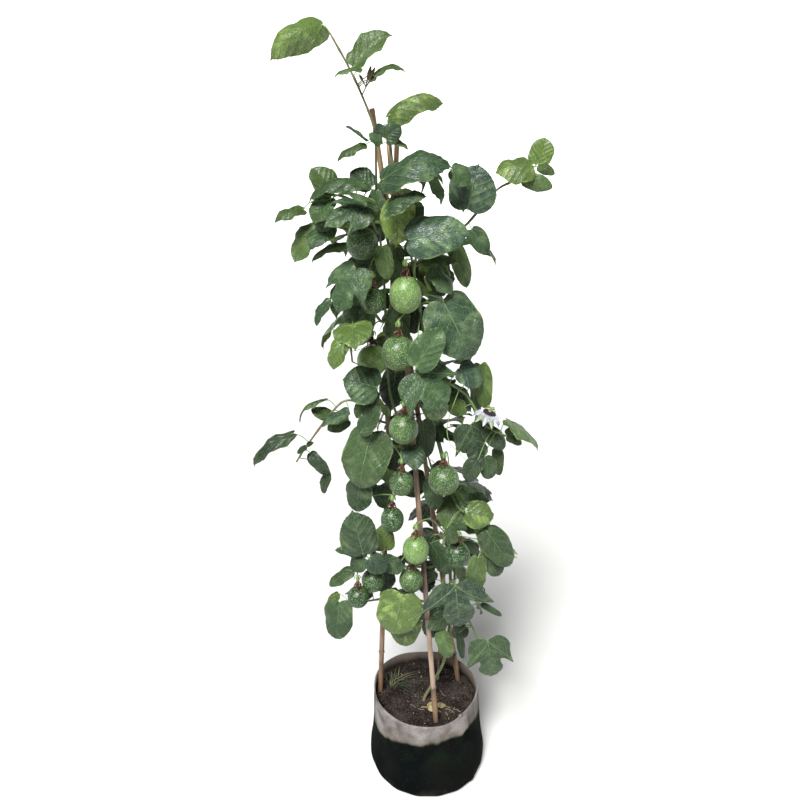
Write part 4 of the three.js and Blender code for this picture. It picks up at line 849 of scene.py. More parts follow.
# A shoot has the climbing stem that it leaves, the height there, how many of its leaves are set
# by rule, and its run: x, z and depth at the front, and x, y and z on the three at the back.
SHOOTS = {
    "top": ("green", 1322, 0, [
        (-100, 1345, -30), (-101, 1400, -34), (-103, 1455, -36), (-124, 1510, -38),
        (-145, 1552, -38), (-172, 1598, -40),
    ]),
    "crown": ("brown", 1318, 1, [(-62, 1350, -72), (-72, 1400, -66), (-78, 1440, -60), (-80, 1470, -56)]),
    "right_up": ("brown", 1225, 2, [
        (6, 1266, -40), (52, 1296, -58), (90, 1340, -66), (112, 1362, -66), (142, 1376, -68),
        (168, 1394, -70),
    ]),
    "left_up": ("fork", 1284, 1, [
        (-116, 1318, -64), (-140, 1340, -72), (-178, 1350, -80), (-214, 1338, -80),
    ]),
    "left_high": ("fork", 1226, 3, [
        (-116, 1262, -30), (-140, 1286, -36), (-172, 1296, -52), (-200, 1296, -58),
    ]),
    "centre": ("brown", 1140, 3, [
        (-28, 1180, -62), (-34, 1220, -66), (-24, 1260, -62), (10, 1250, -58), (30, 1210, -56),
    ]),
    "left_mid": ("fork", 1120, 3, [
        (-110, 1150, -52), (-126, 1190, -60), (-140, 1150, -64), (-152, 1100, -62),
        (-150, 1050, -60),
    ]),
    "right_mid": ("brown", 1030, 3, [
        (-6, 1022, -58), (30, 1008, -58), (66, 984, -62), (88, 950, -66), (110, 918, -74),
        (148, 898, -82),
    ]),
    "left_out": ("fork", 905, 1, [
        (-100, 930, -48), (-132, 962, -58), (-162, 972, -68), (-190, 950, -74), (-245, 875, -78),
        (-266, 842, -78),
    ]),
    "mid_low": ("fork", 842, 3, [
        (-78, 880, -46), (-104, 892, -64), (-126, 850, -70), (-128, 800, -70), (-120, 760, -66),
    ]),
    "right_low": ("green", 752, 3, [
        (58, 742, -50), (76, 724, -60), (97, 683, -68), (110, 640, -74), (122, 622, -78),
    ]),
    "left_low": ("green", 632, 2, [
        (18, 606, -24), (-24, 598, -28), (-72, 602, -46), (-112, 612, -62), (-142, 612, -74),
        (-160, 598, -76),
    ]),
    "left_bottom": ("green", 545, 2, [
        (18, 512, -22), (-38, 520, -34), (-84, 520, -52), (-132, 512, -60), (-172, 512, -66),
    ]),
    "right_bottom": ("green", 506, 2, [(66, 502, -36), (84, 476, -52), (100, 440, -62), (110, 414, -70)]),
    "back_low": ("brown", 520, 12, [(70, 66, 560), (46, 84, 640), (20, 88, 720), (0, 86, 790)]),
    "back_mid": ("green", 850, 13, [(2, 66, 870), (-30, 84, 940), (-52, 84, 1020), (-58, 80, 1090)]),
    "back_high": ("green", 1130, 13, [(-44, 56, 1160), (-64, 74, 1230), (-78, 74, 1300), (-86, 66, 1360)]),
}
# A leaf has its kind, base x and z, tip x and z, depth, width, how far its tip lies behind its
# base, its roll, arch and fold, and how fresh its green is, where that isn't left to chance.
# A small leaf is a plain pointed one, and a deep one is lobed further in than a lobed one.
LEAVES = {
    "top": [
        ("oval", -184, 1610, -273, 1560, -44, 60, -20, -22, 0.31, -34, 0.6),
        ("oval", -135, 1550, -73, 1600, -44, 58, 10, -12, 0.05, 26, 0.5),
        ("small", -122, 1547, -168, 1537, -62, 26, -5, 35, 0.1, -10, 0.4),
        ("small", -102, 1538, -50, 1544, -50, 28, 5, -30, 0.22, -10, 0.35),
        ("small", -115, 1437, -150, 1462, -60, 24, -5, 50, 0, 15),
        ("small", -118, 1432, -168, 1406, -60, 27, -10, 25, 0.12, -12),
        ("small", -113, 1530, -107, 1552, -48, 7, 0, 0, 0, 10),
        ("small", -110, 1528, -100, 1541, -52, 7, 0, 0, 0, 10),
    ],
    "crown": [
        ("oval", -78, 1477, 15, 1498, -60, 60, 20, -12, 0.26, -34, 0.6),
        ("oval", -90, 1375, 32, 1398, -118, 66, -10, -8, 0.2, -14, -0.4),
        ("oval", -85, 1324, -12, 1350, -128, 42, -5, -20, 0.16, -12, 0.1),
        ("small", -94, 1356, -60, 1388, -124, 28, 5, 15, 0.05, 15),
        ("oval", -84, 1440, -58, 1462, -84, 32, 0, 20, 0.08, 0),
        ("small", -92, 1432, -112, 1450, -90, 26, 0, 20, 0.05, 0),
        ("small", -70, 1436, -46, 1424, -76, 22, 0, -30, 0.12, 0),
        ("small", -88, 1462, -100, 1438, -76, 26, 0, 10, 0.1, 0),
        ("oval", 28, 1392, 62, 1368, -112, 36, 10, 10, 0.1, 0),
        ("oval", -60, 1342, -68, 1262, -94, 60, 0, 0, 0.06, -8),
    ],
    "right_up": [
        ("oval", 58, 1326, 74, 1402, -112, 82, 8, 0, 0.05, -8, -0.8),
        ("oval", 166, 1398, 102, 1388, -84, 64, 0, 12, 0.14, -20, 0.6),
        ("oval", 176, 1401, 185, 1444, -72, 42, 5, 0, 0.04, 8, 0.75),
        ("small", 175, 1397, 206, 1384, -72, 18, 0, 30, 0.14, 0, 0.5),
        ("small", 150, 1378, 204, 1362, -80, 30, -5, 30, 0.12, -10, 0.45),
        ("oval", 66, 1292, 98, 1248, -78, 34, 0, 25, 0.06, 15),
    ],
    "left_up": [
        ("oval", -176, 1352, -212, 1396, -66, 52, 10, 10, 0.06, 10, 0.5),
        ("oval", -122, 1370, -222, 1340, -96, 50, -10, 30, 0.2, -20, 0.2),
        ("oval", -228, 1326, -282, 1303, -72, 32, -10, 20, 0.18, -10, 0.45),
        ("oval", -180, 1346, -214, 1302, -104, 46, -5, 10, 0.06, 10),
        ("small", -98, 1334, -178, 1350, -118, 26, 0, 52, 0.12, -10),
        ("oval", -108, 1364, -146, 1390, -74, 44, 10, 0, 0.04, 8),
        ("oval", -94, 1326, -108, 1361, -138, 34, 0, 15, 0.1, -15),
    ],
    "left_high": [
        ("oval", -205, 1296, -252, 1234, -62, 52, -5, 15, 0.08, 5, 0.55),
        ("lobed", -118, 1332, -196, 1298, -112, 78, -15, 10, 0.08, -10, -0.3),
        ("oval", -118, 1322, -142, 1294, -134, 32, -5, 0, 0.08, -10),
        ("small", -150, 1268, -220, 1238, -48, 30, 0, 30, 0.12, -10),
        ("oval", -100, 1242, -150, 1222, -44, 40, 10, -20, 0.05, 0),
        ("oval", -182, 1322, -206, 1288, -88, 40, 0, 5, 0.08, 0),
    ],
    "centre": [
        ("oval", -45, 1274, 64, 1292, -112, 74, 0, 10, 0.06, -8, -0.7),
        ("oval", 40, 1262, 62, 1186, -74, 32, 5, 15, 0.1, 10),
        ("oval", -4, 1218, 22, 1172, -52, 32, 5, 10, 0.05, 5),
        ("oval", -22, 1238, 46, 1236, -58, 42, 10, -35, 0.08, 0),
        ("oval", -30, 1040, 20, 1118, -72, 56, 10, 10, 0.05, 8),
        ("oval", 18, 1166, 76, 1050, -116, 104, -5, 5, 0.06, -8, -0.5),
        ("small", -40, 1300, -20, 1330, -84, 26, 0, 10, 0.08, 0),
        ("oval", -67, 1262, -68, 1186, -50, 32, 0, 0, 0.02, 0),
        ("oval", -62, 1152, -66, 1078, -48, 46, 0, 0, 0.02, 0),
    ],
    "left_mid": [
        ("lobed", -139, 1225, -177, 1140, -120, 86, -5, 10, 0.08, -10, -0.1),
        ("small", -188, 1168, -216, 1118, -66, 24, -5, 20, 0.1, 10),
        ("oval", -140, 1150, -170, 1082, -92, 38, 0, 10, 0.06, 12),
        ("oval", -124, 1148, -136, 1078, -108, 44, 0, -5, 0.06, 10),
        ("oval", -162, 1092, -188, 1032, -68, 38, -5, 15, 0.18, 0),
        ("oval", -103, 998, -170, 1016, -116, 74, 5, 0, 0.08, -8, -0.2),
        ("oval", -92, 1262, -82, 1200, -68, 32, 0, 0, 0.06, 0),
    ],
    "right_mid": [
        ("lobed", -31, 1029, 32, 954, -130, 120, -10, 0, 0.08, -8, -0.1),
        ("oval", 52, 1036, 98, 1004, -74, 50, 0, 0, 0.06, 5),
        ("oval", 92, 1044, 106, 950, -52, 40, 0, 20, 0.05, 10, 0.6),
        ("small", 76, 1002, 88, 924, -92, 28, 0, -30, 0.1, 20),
        ("lobed", 78, 922, 100, 838, -108, 88, -5, 0, 0.06, -6, -0.2),
        ("oval", 106, 914, 148, 868, -98, 36, 0, 0, 0.1, 0),
        ("small", 149, 900, 166, 918, -84, 18, 0, 0, 0.06, 0),
        ("small", 149, 897, 181, 880, -84, 19, 0, 0, 0.12, 0),
        ("oval", 96, 850, 70, 800, -72, 36, 0, 0, 0.08, 10),
        ("oval", 108, 852, 122, 802, -80, 36, 0, 0, 0.08, 10),
        ("small", 132, 872, 138, 810, -64, 26, 0, 20, 0.08, 0),
        ("oval", -68, 1030, -78, 952, -66, 56, 0, 0, 0.06, -6),
        ("oval", -40, 1024, -44, 948, -62, 46, 0, 0, 0.02, 0),
    ],
    "left_out": [
        ("small", -200, 974, -258, 928, -74, 15, -5, 45, 0.2, -10, 0.1),
        ("oval", -270, 903, -356, 832, -84, 34, -15, 25, 0.16, -10),
        ("small", -188, 934, -232, 954, -66, 28, 0, 0, 0.06, 5),
        ("oval", -160, 932, -204, 910, -62, 32, 0, 0, 0.06, 5),
        ("small", -158, 950, -214, 918, -92, 28, 0, 25, 0.1, 0),
        ("small", -238, 862, -200, 814, -76, 27, 0, 20, 0.2, 0),
        ("small", -204, 822, -216, 770, -70, 22, 0, 15, 0.08, 0),
        ("small", -244, 876, -264, 860, -92, 12, 0, 0, 0.1, 0),
        ("small", -244, 878, -230, 884, -90, 10, 0, 0, 0.1, 0),
        ("oval", -136, 906, -96, 962, -118, 36, 0, 0, 0.05, 12),
        ("oval", -106, 990, -148, 934, -98, 38, 0, 10, 0.06, 10),
    ],
    "mid_low": [
        ("oval", -116, 906, -143, 777, -142, 96, -10, 5, 0.1, -12, 0.3),
        ("oval", -140, 798, -150, 726, -106, 56, 0, 10, 0.05, -10),
        ("oval", -72, 890, -40, 850, -60, 40, 5, 0, 0.06, 0),
        ("oval", -100, 790, -88, 735, -56, 40, 5, 0, 0.06, 0),
        ("oval", -16, 930, -8, 846, 8, 46, 0, 0, 0.05, 0),
    ],
    "right_low": [
        ("oval", 72, 730, 12, 728, -58, 84, 10, 0, 0.06, -8, 0.5),
        ("small", 48, 706, 80, 688, -78, 18, 0, 20, 0.1, 0),
        ("oval", 78, 730, 133, 714, -88, 58, -5, 5, 0.12, -14),
        ("oval", 120, 684, 176, 596, -92, 58, -5, 5, 0.08, -8, 0.2),
        ("small", 112, 704, 118, 658, -66, 24, 0, 20, 0.06, 0),
        ("oval", 105, 622, 97, 530, -98, 42, 0, 0, 0.06, 10),
        ("oval", 124, 622, 156, 577, -84, 42, 0, 0, 0.08, 0),
        ("small", 76, 662, 102, 628, -54, 24, 0, 0, 0.06, 0),
        ("oval", 4, 656, 48, 577, -76, 40, 0, 10, 0.06, 5),
        ("small", 38, 694, 58, 654, -46, 26, 0, 0, 0.06, 0),
        ("oval", 4, 804, 14, 730, -36, 42, 0, 0, 0.05, 0),
    ],
    "left_low": [
        ("oval", -137, 630, -158, 732, -124, 78, 0, 0, 0.08, -12, -0.1),
        ("small", -150, 632, -196, 640, -84, 22, 0, 25, 0.08, 0),
        ("oval", -136, 620, -163, 588, -112, 38, 0, 0, 0.08, -10),
        ("oval", -124, 618, -86, 588, -122, 42, 0, 0, 0.08, -10),
        ("oval", -94, 614, -50, 590, -104, 36, 0, 0, 0.08, -10),
        ("oval", -104, 588, -84, 538, -70, 56, 5, 0, 0.06, 0),
        ("small", -158, 590, -213, 550, -74, 30, 0, 15, 0.06, 10),
        ("oval", -92, 640, -98, 700, -70, 48, 5, 0, 0.06, 0),
    ],
    "left_bottom": [
        ("oval", -190, 508, -200, 405, -82, 62, -5, 5, 0.06, -8, 0.1),
        ("small", -192, 532, -223, 478, -74, 22, 0, 20, 0.14, 0),
        ("oval", -55, 528, -76, 418, -118, 94, -5, 0, 0.07, -10, 0.62),
        ("oval", -40, 484, -57, 388, -84, 64, 0, 5, 0.06, 0, 0.6),
    ],
    "right_bottom": [
        ("deep", 58, 552, 72, 438, -112, 150, -5, 0, 0.06, -10, -0.9),
        ("oval", 26, 502, 0, 412, -46, 50, 5, 10, 0.06, 5),
        ("oval", 28, 432, 52, 357, -72, 36, 0, 0, 0.06, 12, 0.4),
        ("small", 70, 430, 80, 355, -64, 18, 0, 0, 0.08, 0),
        ("lobed", 134, 407, 149, 303, -92, 104, -5, 0, 0.08, -8, 0.15),
        ("small", 115, 504, 163, 473, -96, 14, 0, 0, 0.12, 0),
    ],
}
TENDRILS = [
    ("right_mid", [(52, 986, -84), (34, 930, -98), (36, 888, -104), (62, 856, -104), (90, 826, -104)]),
    ("left_mid", [(-150, 1092, -66), (-168, 1078, -92), (-150, 1070, -100), (-118, 1080, -98)]),
    ("mid_low", [(-118, 826, -70), (-100, 818, -88), (-82, 826, -96)]),
]
# A short woody twig near the top forks. Each run ends at the foot of a dried bud, and BUD_ENDS
# has the buds' tips.
TWIGS = [
    [(-122, 1509, -40), (-116, 1520, -46), (-111, 1527, -48), (-108, 1536, -48)],
    [(-116, 1520, -46), (-121, 1529, -46)],
    [(-116, 1520, -46), (-113, 1534, -48)],
    [(-111, 1527, -48), (-104, 1529, -50)],
]
BUD_ENDS = [(-100, 1550, -48), (-127, 1539, -46), (-107, 1547, -48), (-98, 1535, -50)]
DRY_WOOD = (0, 1.3, 0)
# Each row is a point of the edge, across and along, and the point of the midrib level with it.
LEAF_EDGES = {
    "small": [
        (0.04, 0.0, 0.0), (0.3, -0.02, 0.02), (0.66, 0.02, 0.06), (0.92, 0.12, 0.15), (1.0, 0.32, 0.36),
        (0.96, 0.56, 0.6), (0.72, 0.77, 0.8), (0.38, 0.92, 0.92), (0.12, 0.975, 0.975), (0.0, 1.0, 1.0),
    ],
    "oval": [
        (0.03, 0.0, 0.0), (0.24, -0.045, 0.01), (0.5, -0.05, 0.04), (0.8, 0.03, 0.12), (0.98, 0.17, 0.22),
        (1.02, 0.34, 0.35), (1.0, 0.5, 0.48), (0.87, 0.67, 0.64), (0.64, 0.8, 0.77), (0.32, 0.905, 0.885),
        (0.08, 0.955, 0.95), (0.02, 0.985, 0.985), (0.0, 1.0, 1.0),
    ],
    "lobed": [
        (0.03, 0.0, 0.0), (0.22, -0.055, 0.01), (0.46, -0.07, 0.03), (0.72, 0.0, 0.09), (0.88, 0.14, 0.15),
        (0.94, 0.32, 0.2), (0.98, 0.5, 0.24), (1.04, 0.65, 0.27), (0.99, 0.64, 0.28), (0.88, 0.58, 0.3),
        (0.7, 0.51, 0.32), (0.53, 0.465, 0.35), (0.44, 0.48, 0.4), (0.47, 0.57, 0.48), (0.53, 0.66, 0.56),
        (0.46, 0.76, 0.67), (0.27, 0.86, 0.79), (0.1, 0.93, 0.9), (0.02, 0.98, 0.97), (0.0, 1.0, 1.0),
    ],
    "deep": [
        (0.03, 0.0, 0.0), (0.18, -0.05, 0.01), (0.36, -0.06, 0.03), (0.56, 0.0, 0.08), (0.7, 0.12, 0.13),
        (0.84, 0.28, 0.17), (0.96, 0.44, 0.2), (1.02, 0.6, 0.22), (0.96, 0.59, 0.23), (0.86, 0.54, 0.24),
        (0.7, 0.47, 0.26), (0.5, 0.39, 0.29), (0.36, 0.35, 0.32), (0.35, 0.42, 0.38), (0.42, 0.52, 0.46),
        (0.45, 0.62, 0.54), (0.4, 0.74, 0.66), (0.24, 0.86, 0.79), (0.09, 0.93, 0.9), (0.02, 0.98, 0.97),
        (0.0, 1.0, 1.0),
    ],
}
LEAF_ROWS = {"small": 26, "oval": 46, "lobed": 62, "deep": 66}
LEAF_COLUMNS = np.array((0, 0.22, 0.48, 0.74, 0.95, 1.0))
SIDE_VEINS = 5.4
UPPER_SKIN, UNDER_SKIN = 1, 2

state = SEED


def draw(low, high):
    """The next number of a plain run of chance, which the solids were placed with too."""
    global state
    state = (state * 16807) % 2147483647
    return low + (high - low) * state / 2147483647


def turned(way, axis, degrees):
    """A way turned about an axis."""
    angle = math.radians(degrees)
    on_axis = axis * np.dot(axis, way) * (1 - math.cos(angle))
    return way * math.cos(angle) + np.cross(axis, way) * math.sin(angle) + on_axis


def nearest(line, target):
    """The spot of a run of points that is nearest to a target."""
    starts, spans = line[:-1], np.diff(line, axis=0)
    share = np.clip(np.sum((target - starts) * spans, axis=1) / np.sum(spans**2, axis=1), 0, 1)
    spots = starts + spans * share[:, None]
    return spots[np.argmin(np.linalg.norm(spots - target, axis=1))]


def leaf_template(kind):
    """The flat half leaf: for each row and column, its place across and along."""
    edge = smoothed(np.array(LEAF_EDGES[kind]), 12)
    far = np.concatenate([[0], np.cumsum(np.linalg.norm(np.diff(edge[:, :2], axis=0), axis=1))])
    wanted = np.linspace(0, far[-1], LEAF_ROWS[kind])
    rows = np.stack([np.interp(wanted, far, edge[:, k]) for k in range(3)], axis=1)
    teeth = np.array((0.0, 0.5, 1.0))[np.arange(len(rows)) % 3] * 0.014 - 0.004
    teeth[[0, 1, -2, -1]] = 0
    rows[:, 0] += teeth * np.clip(rows[:, 0] * 3, 0, 1)
    rows[:, 1] += teeth * 0.4
    flat = np.zeros((len(rows), len(LEAF_COLUMNS), 2))
    flat[:, :, 0] = rows[:, :1] * LEAF_COLUMNS
    flat[:, :, 1] = rows[:, 2:3] + (rows[:, 1:2] - rows[:, 2:3]) * LEAF_COLUMNS**1.3
    return flat


TEMPLATES = {kind: leaf_template(kind) for kind in LEAF_EDGES}


def leaf_grid(leaf):
    """The whole flat leaf as rows from edge to edge, and where each spot lies once it is bent."""
    half = TEMPLATES[leaf["kind"]]
    flat = np.concatenate([half[:, :0:-1] * (-1, 1), half], axis=1)
    across, along = flat[..., 0], flat[..., 1]
    away = np.abs(across)
    length = np.linalg.norm(leaf["tip"] - leaf["base"])
    forward = (leaf["tip"] - leaf["base"]) / length
    light = leaf["light"]
    up = turned(unit(light - forward * np.dot(light, forward)), forward, leaf["roll"])
    fold = math.radians(leaf["fold"])
    phase = leaf["phase"]
    bulge = 1 + 0.05 * np.sin(7 * along + phase + np.where(across < 0, 2.0, 0.0))
    half_width = across * leaf["wide"] / 2 * bulge
    size = min(length / 90, 1.3)
    # The edge waves and ripples, and the blade is pillowed between its side veins.
    one_side = np.where(across < 0, 1.7, 0.0)
    wave = np.sin(2 * np.pi * 1.7 * along + phase + one_side) * away**2 * 4.2 * size
    wave += np.sin(2 * np.pi * 4.6 * along + 2 * phase + one_side) * away**3 * 1.3 * size
    vein = SIDE_VEINS * (along - 0.3 * away - 0.1 * away**2) + 0.5 * (across > 0)
    pillow = (2.4 - 1.4 * np.clip(leaf["fresh"], -0.4, 0.8)) * size * np.abs(np.cos(np.pi * vein)) ** 0.7
    quilt = pillow * np.clip(away * 5, 0, 1) * (1 - 0.8 * away**2)
    # It sinks along the midrib, turns down at the edge and droops at the tip.
    crease = -2.0 * size * bell(away, 0.13) - 3.4 * size * away**3
    droop = -5.0 * size * np.clip(along - 0.72, 0, 1) ** 2 / 0.08
    rise = 4 * leaf["arch"] * length * along * (1 - along)
    lift = rise + np.abs(half_width) * math.sin(fold) + wave + quilt + crease + droop
    middle = leaf["base"] + along[..., None] * length * forward
    beside = half_width[..., None] * math.cos(fold) * np.cross(up, forward)
    return flat, middle + beside + lift[..., None] * up, up


def leaf_skin(leaf):
    """The upper and the under skin of a leaf. They share its edge and part over its middle."""
    flat, grid, up = leaf_grid(leaf)
    rows, columns = flat.shape[:2]
    away = np.abs(flat[..., 0]) / np.maximum(np.abs(flat[:, :1, 0]), 0.001)
    thick = 0.34 * np.clip((1 - away) * 12, 0, 1) * (1 + 1.2 * bell(away, 0.08))
    thick[-1] = 0
    top = grid + thick[..., None] * up
    below = grid - thick[..., None] * up * 1.3
    points = np.concatenate([top.reshape(-1, 3), below.reshape(-1, 3)]) * MM
    count = rows * columns
    upper, under = [], []
    for row in range(0, count - columns, columns):
        for a in range(row, row + columns - 1):
            corners = [a, a + 1, a + columns + 1, a + columns]
            upper.append(corners)
            low = [x if x % columns in (0, columns - 1) else x + count for x in corners]
            under.append([low[0], low[3], low[2], low[1]])
    spots = np.zeros((2 * count, 3))
    spots[:, :2] = np.tile(flat.reshape(-1, 2), (2, 1))
    spots[:, 2] = leaf["kind"] in ("lobed", "deep")
    tints = np.tile((leaf["fresh"], leaf["blotch"], leaf["shade"]), (2 * count, 1))
    return (points, upper, UPPER_SKIN, spots, tints), (points, under, UNDER_SKIN, spots, tints)


def leaf_stalk(leaf, stem_line):
    """A stalk bows up from the shoot to the blade. A larger leaf's ends in two small glands."""
    root, base, tip = nearest(stem_line, leaf["base"]), leaf["base"], leaf["tip"]
    large = leaf["wide"] > 40
    middle = root + (base - root) * 0.5 + UP * np.linalg.norm(base - root) * 0.12
    line = smoothed([root, middle, base, base + (tip - base) * 0.025], 5)
    share = np.linspace(0, 1, len(line))
    radii = 1.15 + 0.55 * bell(share, 0.06) + 0.3 * bell(share - 0.9, 0.06)
    parts = [tube(line, radii * (1.0 if large else 0.75), 7, tint=(leaf["fresh"], 0, 0))]
    forward = unit(base - middle)
    side = unit(np.cross(forward, leaf["light"]))
    for hand in (-1, 1) if large else ():
        gland = [base - forward * 5 + side * hand * 1.5 + side * hand * out for out in (0, 0.9, 1.5)]
        parts.append(tube(gland, [0.7, 1.0, 0.5], 6))
    return parts


def front_places(row):
    """The places tried for a leaf of LEAVES, nearer and further along the line of sight."""
    kind, bx, bz, tx, tz, y, wide, back, roll, arch, fold = row[:11]
    for shift in (0, 14, -14, 28, -28, 42, -42, 56, -56, -70, 70, -84):
        base, tip = sight(bx, bz, y + shift), sight(tx, tz, y + back + shift)
        yield {
            "kind": kind, "base": base, "tip": tip, "light": TOWARDS_LIGHT, "wide": wide,
            "roll": roll, "arch": arch, "fold": fold,
        }


def hang(out, drop, length):
    """From the base to the tip of a leaf that hangs outward, so far below level."""
    return (out * math.cos(drop) - UP * math.sin(drop)) * length


def ruled_places(path, index, count, behind):
    """Leaves behind spread left and right of straight back; on a front shoot they go all round."""
    reach = (index + 0.7) / (count + 0.4) * (len(path) - 1)
    i = min(int(reach), len(path) - 2)
    at = path[i] + (path[i + 1] - path[i]) * (reach - i)
    hand = -1 if index % 2 == 0 else 1
    swing = draw(18, 105) if behind else draw(0, 178)
    stalk = draw(22, 42)
    length = draw(76, 112) if behind else draw(56, 88)
    drop = math.radians(draw(12, 68))
    wide = length * draw(0.66, 0.84)
    shape = {"roll": draw(-25, 25), "kind": "lobed" if draw(0, 1) < 0.3 else "oval"}
    shape["wide"] = wide * 1.25 if shape["kind"] == "lobed" else wide
    shape["arch"] = draw(0.04, 0.14)
    shape["fold"] = draw(-14, 12)
    nudges = ((0, 0), (14, 0), (0, 16), (0, -16), (28, 0), (14, 16), (14, -16), (-12, 0))
    for more in (0, 50, -50, 100, -100, 150):
        out = level_way(math.radians(90 + hand * swing + more))
        for outward, upward in nudges:
            base = at + out * (stalk + outward) + UP * (8 + upward)
            tip = base + hang(out, drop, length)
            yield {**shape, "base": base, "tip": tip, "light": out * 0.75 + UP * 0.65}


def tree_of(spots):
    """The spots, kept so that the nearest one to a place is quickly found."""
    tree = KDTree(len(spots))
    for i, spot in enumerate(spots):
        tree.insert(spot, i)
    tree.balance()
    return tree


def free_place(places, tree):
    """The place where a leaf of the shoot's solid has its tip, to 0.06 mm."""
    return next((leaf for leaf in places if tree.find(leaf["tip"] * MM)[2] < 0.00006), None)


def shoot_path(name):
    """From the skin of its climbing stem through the places of its run."""
    stem, height, _, run = SHOOTS[name]
    parent = STEMS[stem]

    def at(z):
        above = int(np.argmax(parent[:, 2] > z))
        low, high = parent[above - 1], parent[above]
        return low + (high - low) * (z - low[2]) / (high[2] - low[2])

    start = at(height)
    along = unit(at(height + 5) - start)
    run = [sight(*row) if name in LEAVES else np.array(row, float) for row in run]
    out = run[0] - start
    out = unit(out - along * np.dot(out, along))
    socket = STEM_RADII[stem] + 1
    return np.array([start + out * socket, start + out * (socket + 7), *run])


def fruit_stalk(row, stem_line):
    """A stalk and the calyx cup that it ends in, with three small pointed bracts."""
    centre, _, half_height = hung(row)
    cup = centre + UP * (half_height + WITHERED_HEIGHT + CUP_GAP)
    neck = cup + UP * CUP_HEIGHT
    root = nearest(stem_line, neck)
    middle = neck + (root - neck) * 0.45
    middle[2] = max(neck[2], root[2]) * 0.6 + middle[2] * 0.4
    line = smoothed([root, middle, neck, cup + UP * 6], 7)
    share = np.linspace(0, 1, len(line))
    parts = [tube(line, 1.3 + 0.5 * share**3, 8, tint=(0.5, 0, 0))]
    heights = np.array((12, 10.5, 8.5, 6.5, 4.5, 2.5, 0.8, 0.0))
    radii = (1.9, 2.3, 3.4, 4.3, 4.6, 4.3, 3.9, 3.2)
    parts.append(tube(cup + UP * heights[:, None], radii, 12, tint=(0.6, 0, 0)))
    for i in range(3):
        angle = 2.1 * i + centre[0]
        out = level_way(angle)
        bract = [neck - UP * drop + out * reach for drop, reach in ((1, 1.5), (3, 5), (8, 7.4), (12, 7))]
        widths = [1.2, 2.6, 4.0, 4.8, 5.0, 4.6, 3.6, 2.4, 1.0, 0.5]
        sideways = np.tile((-math.sin(angle), math.cos(angle), 0), (len(widths), 1))
        parts.append(ribbon(smoothed(bract, 3), widths, sideways, 0.6))
    return parts


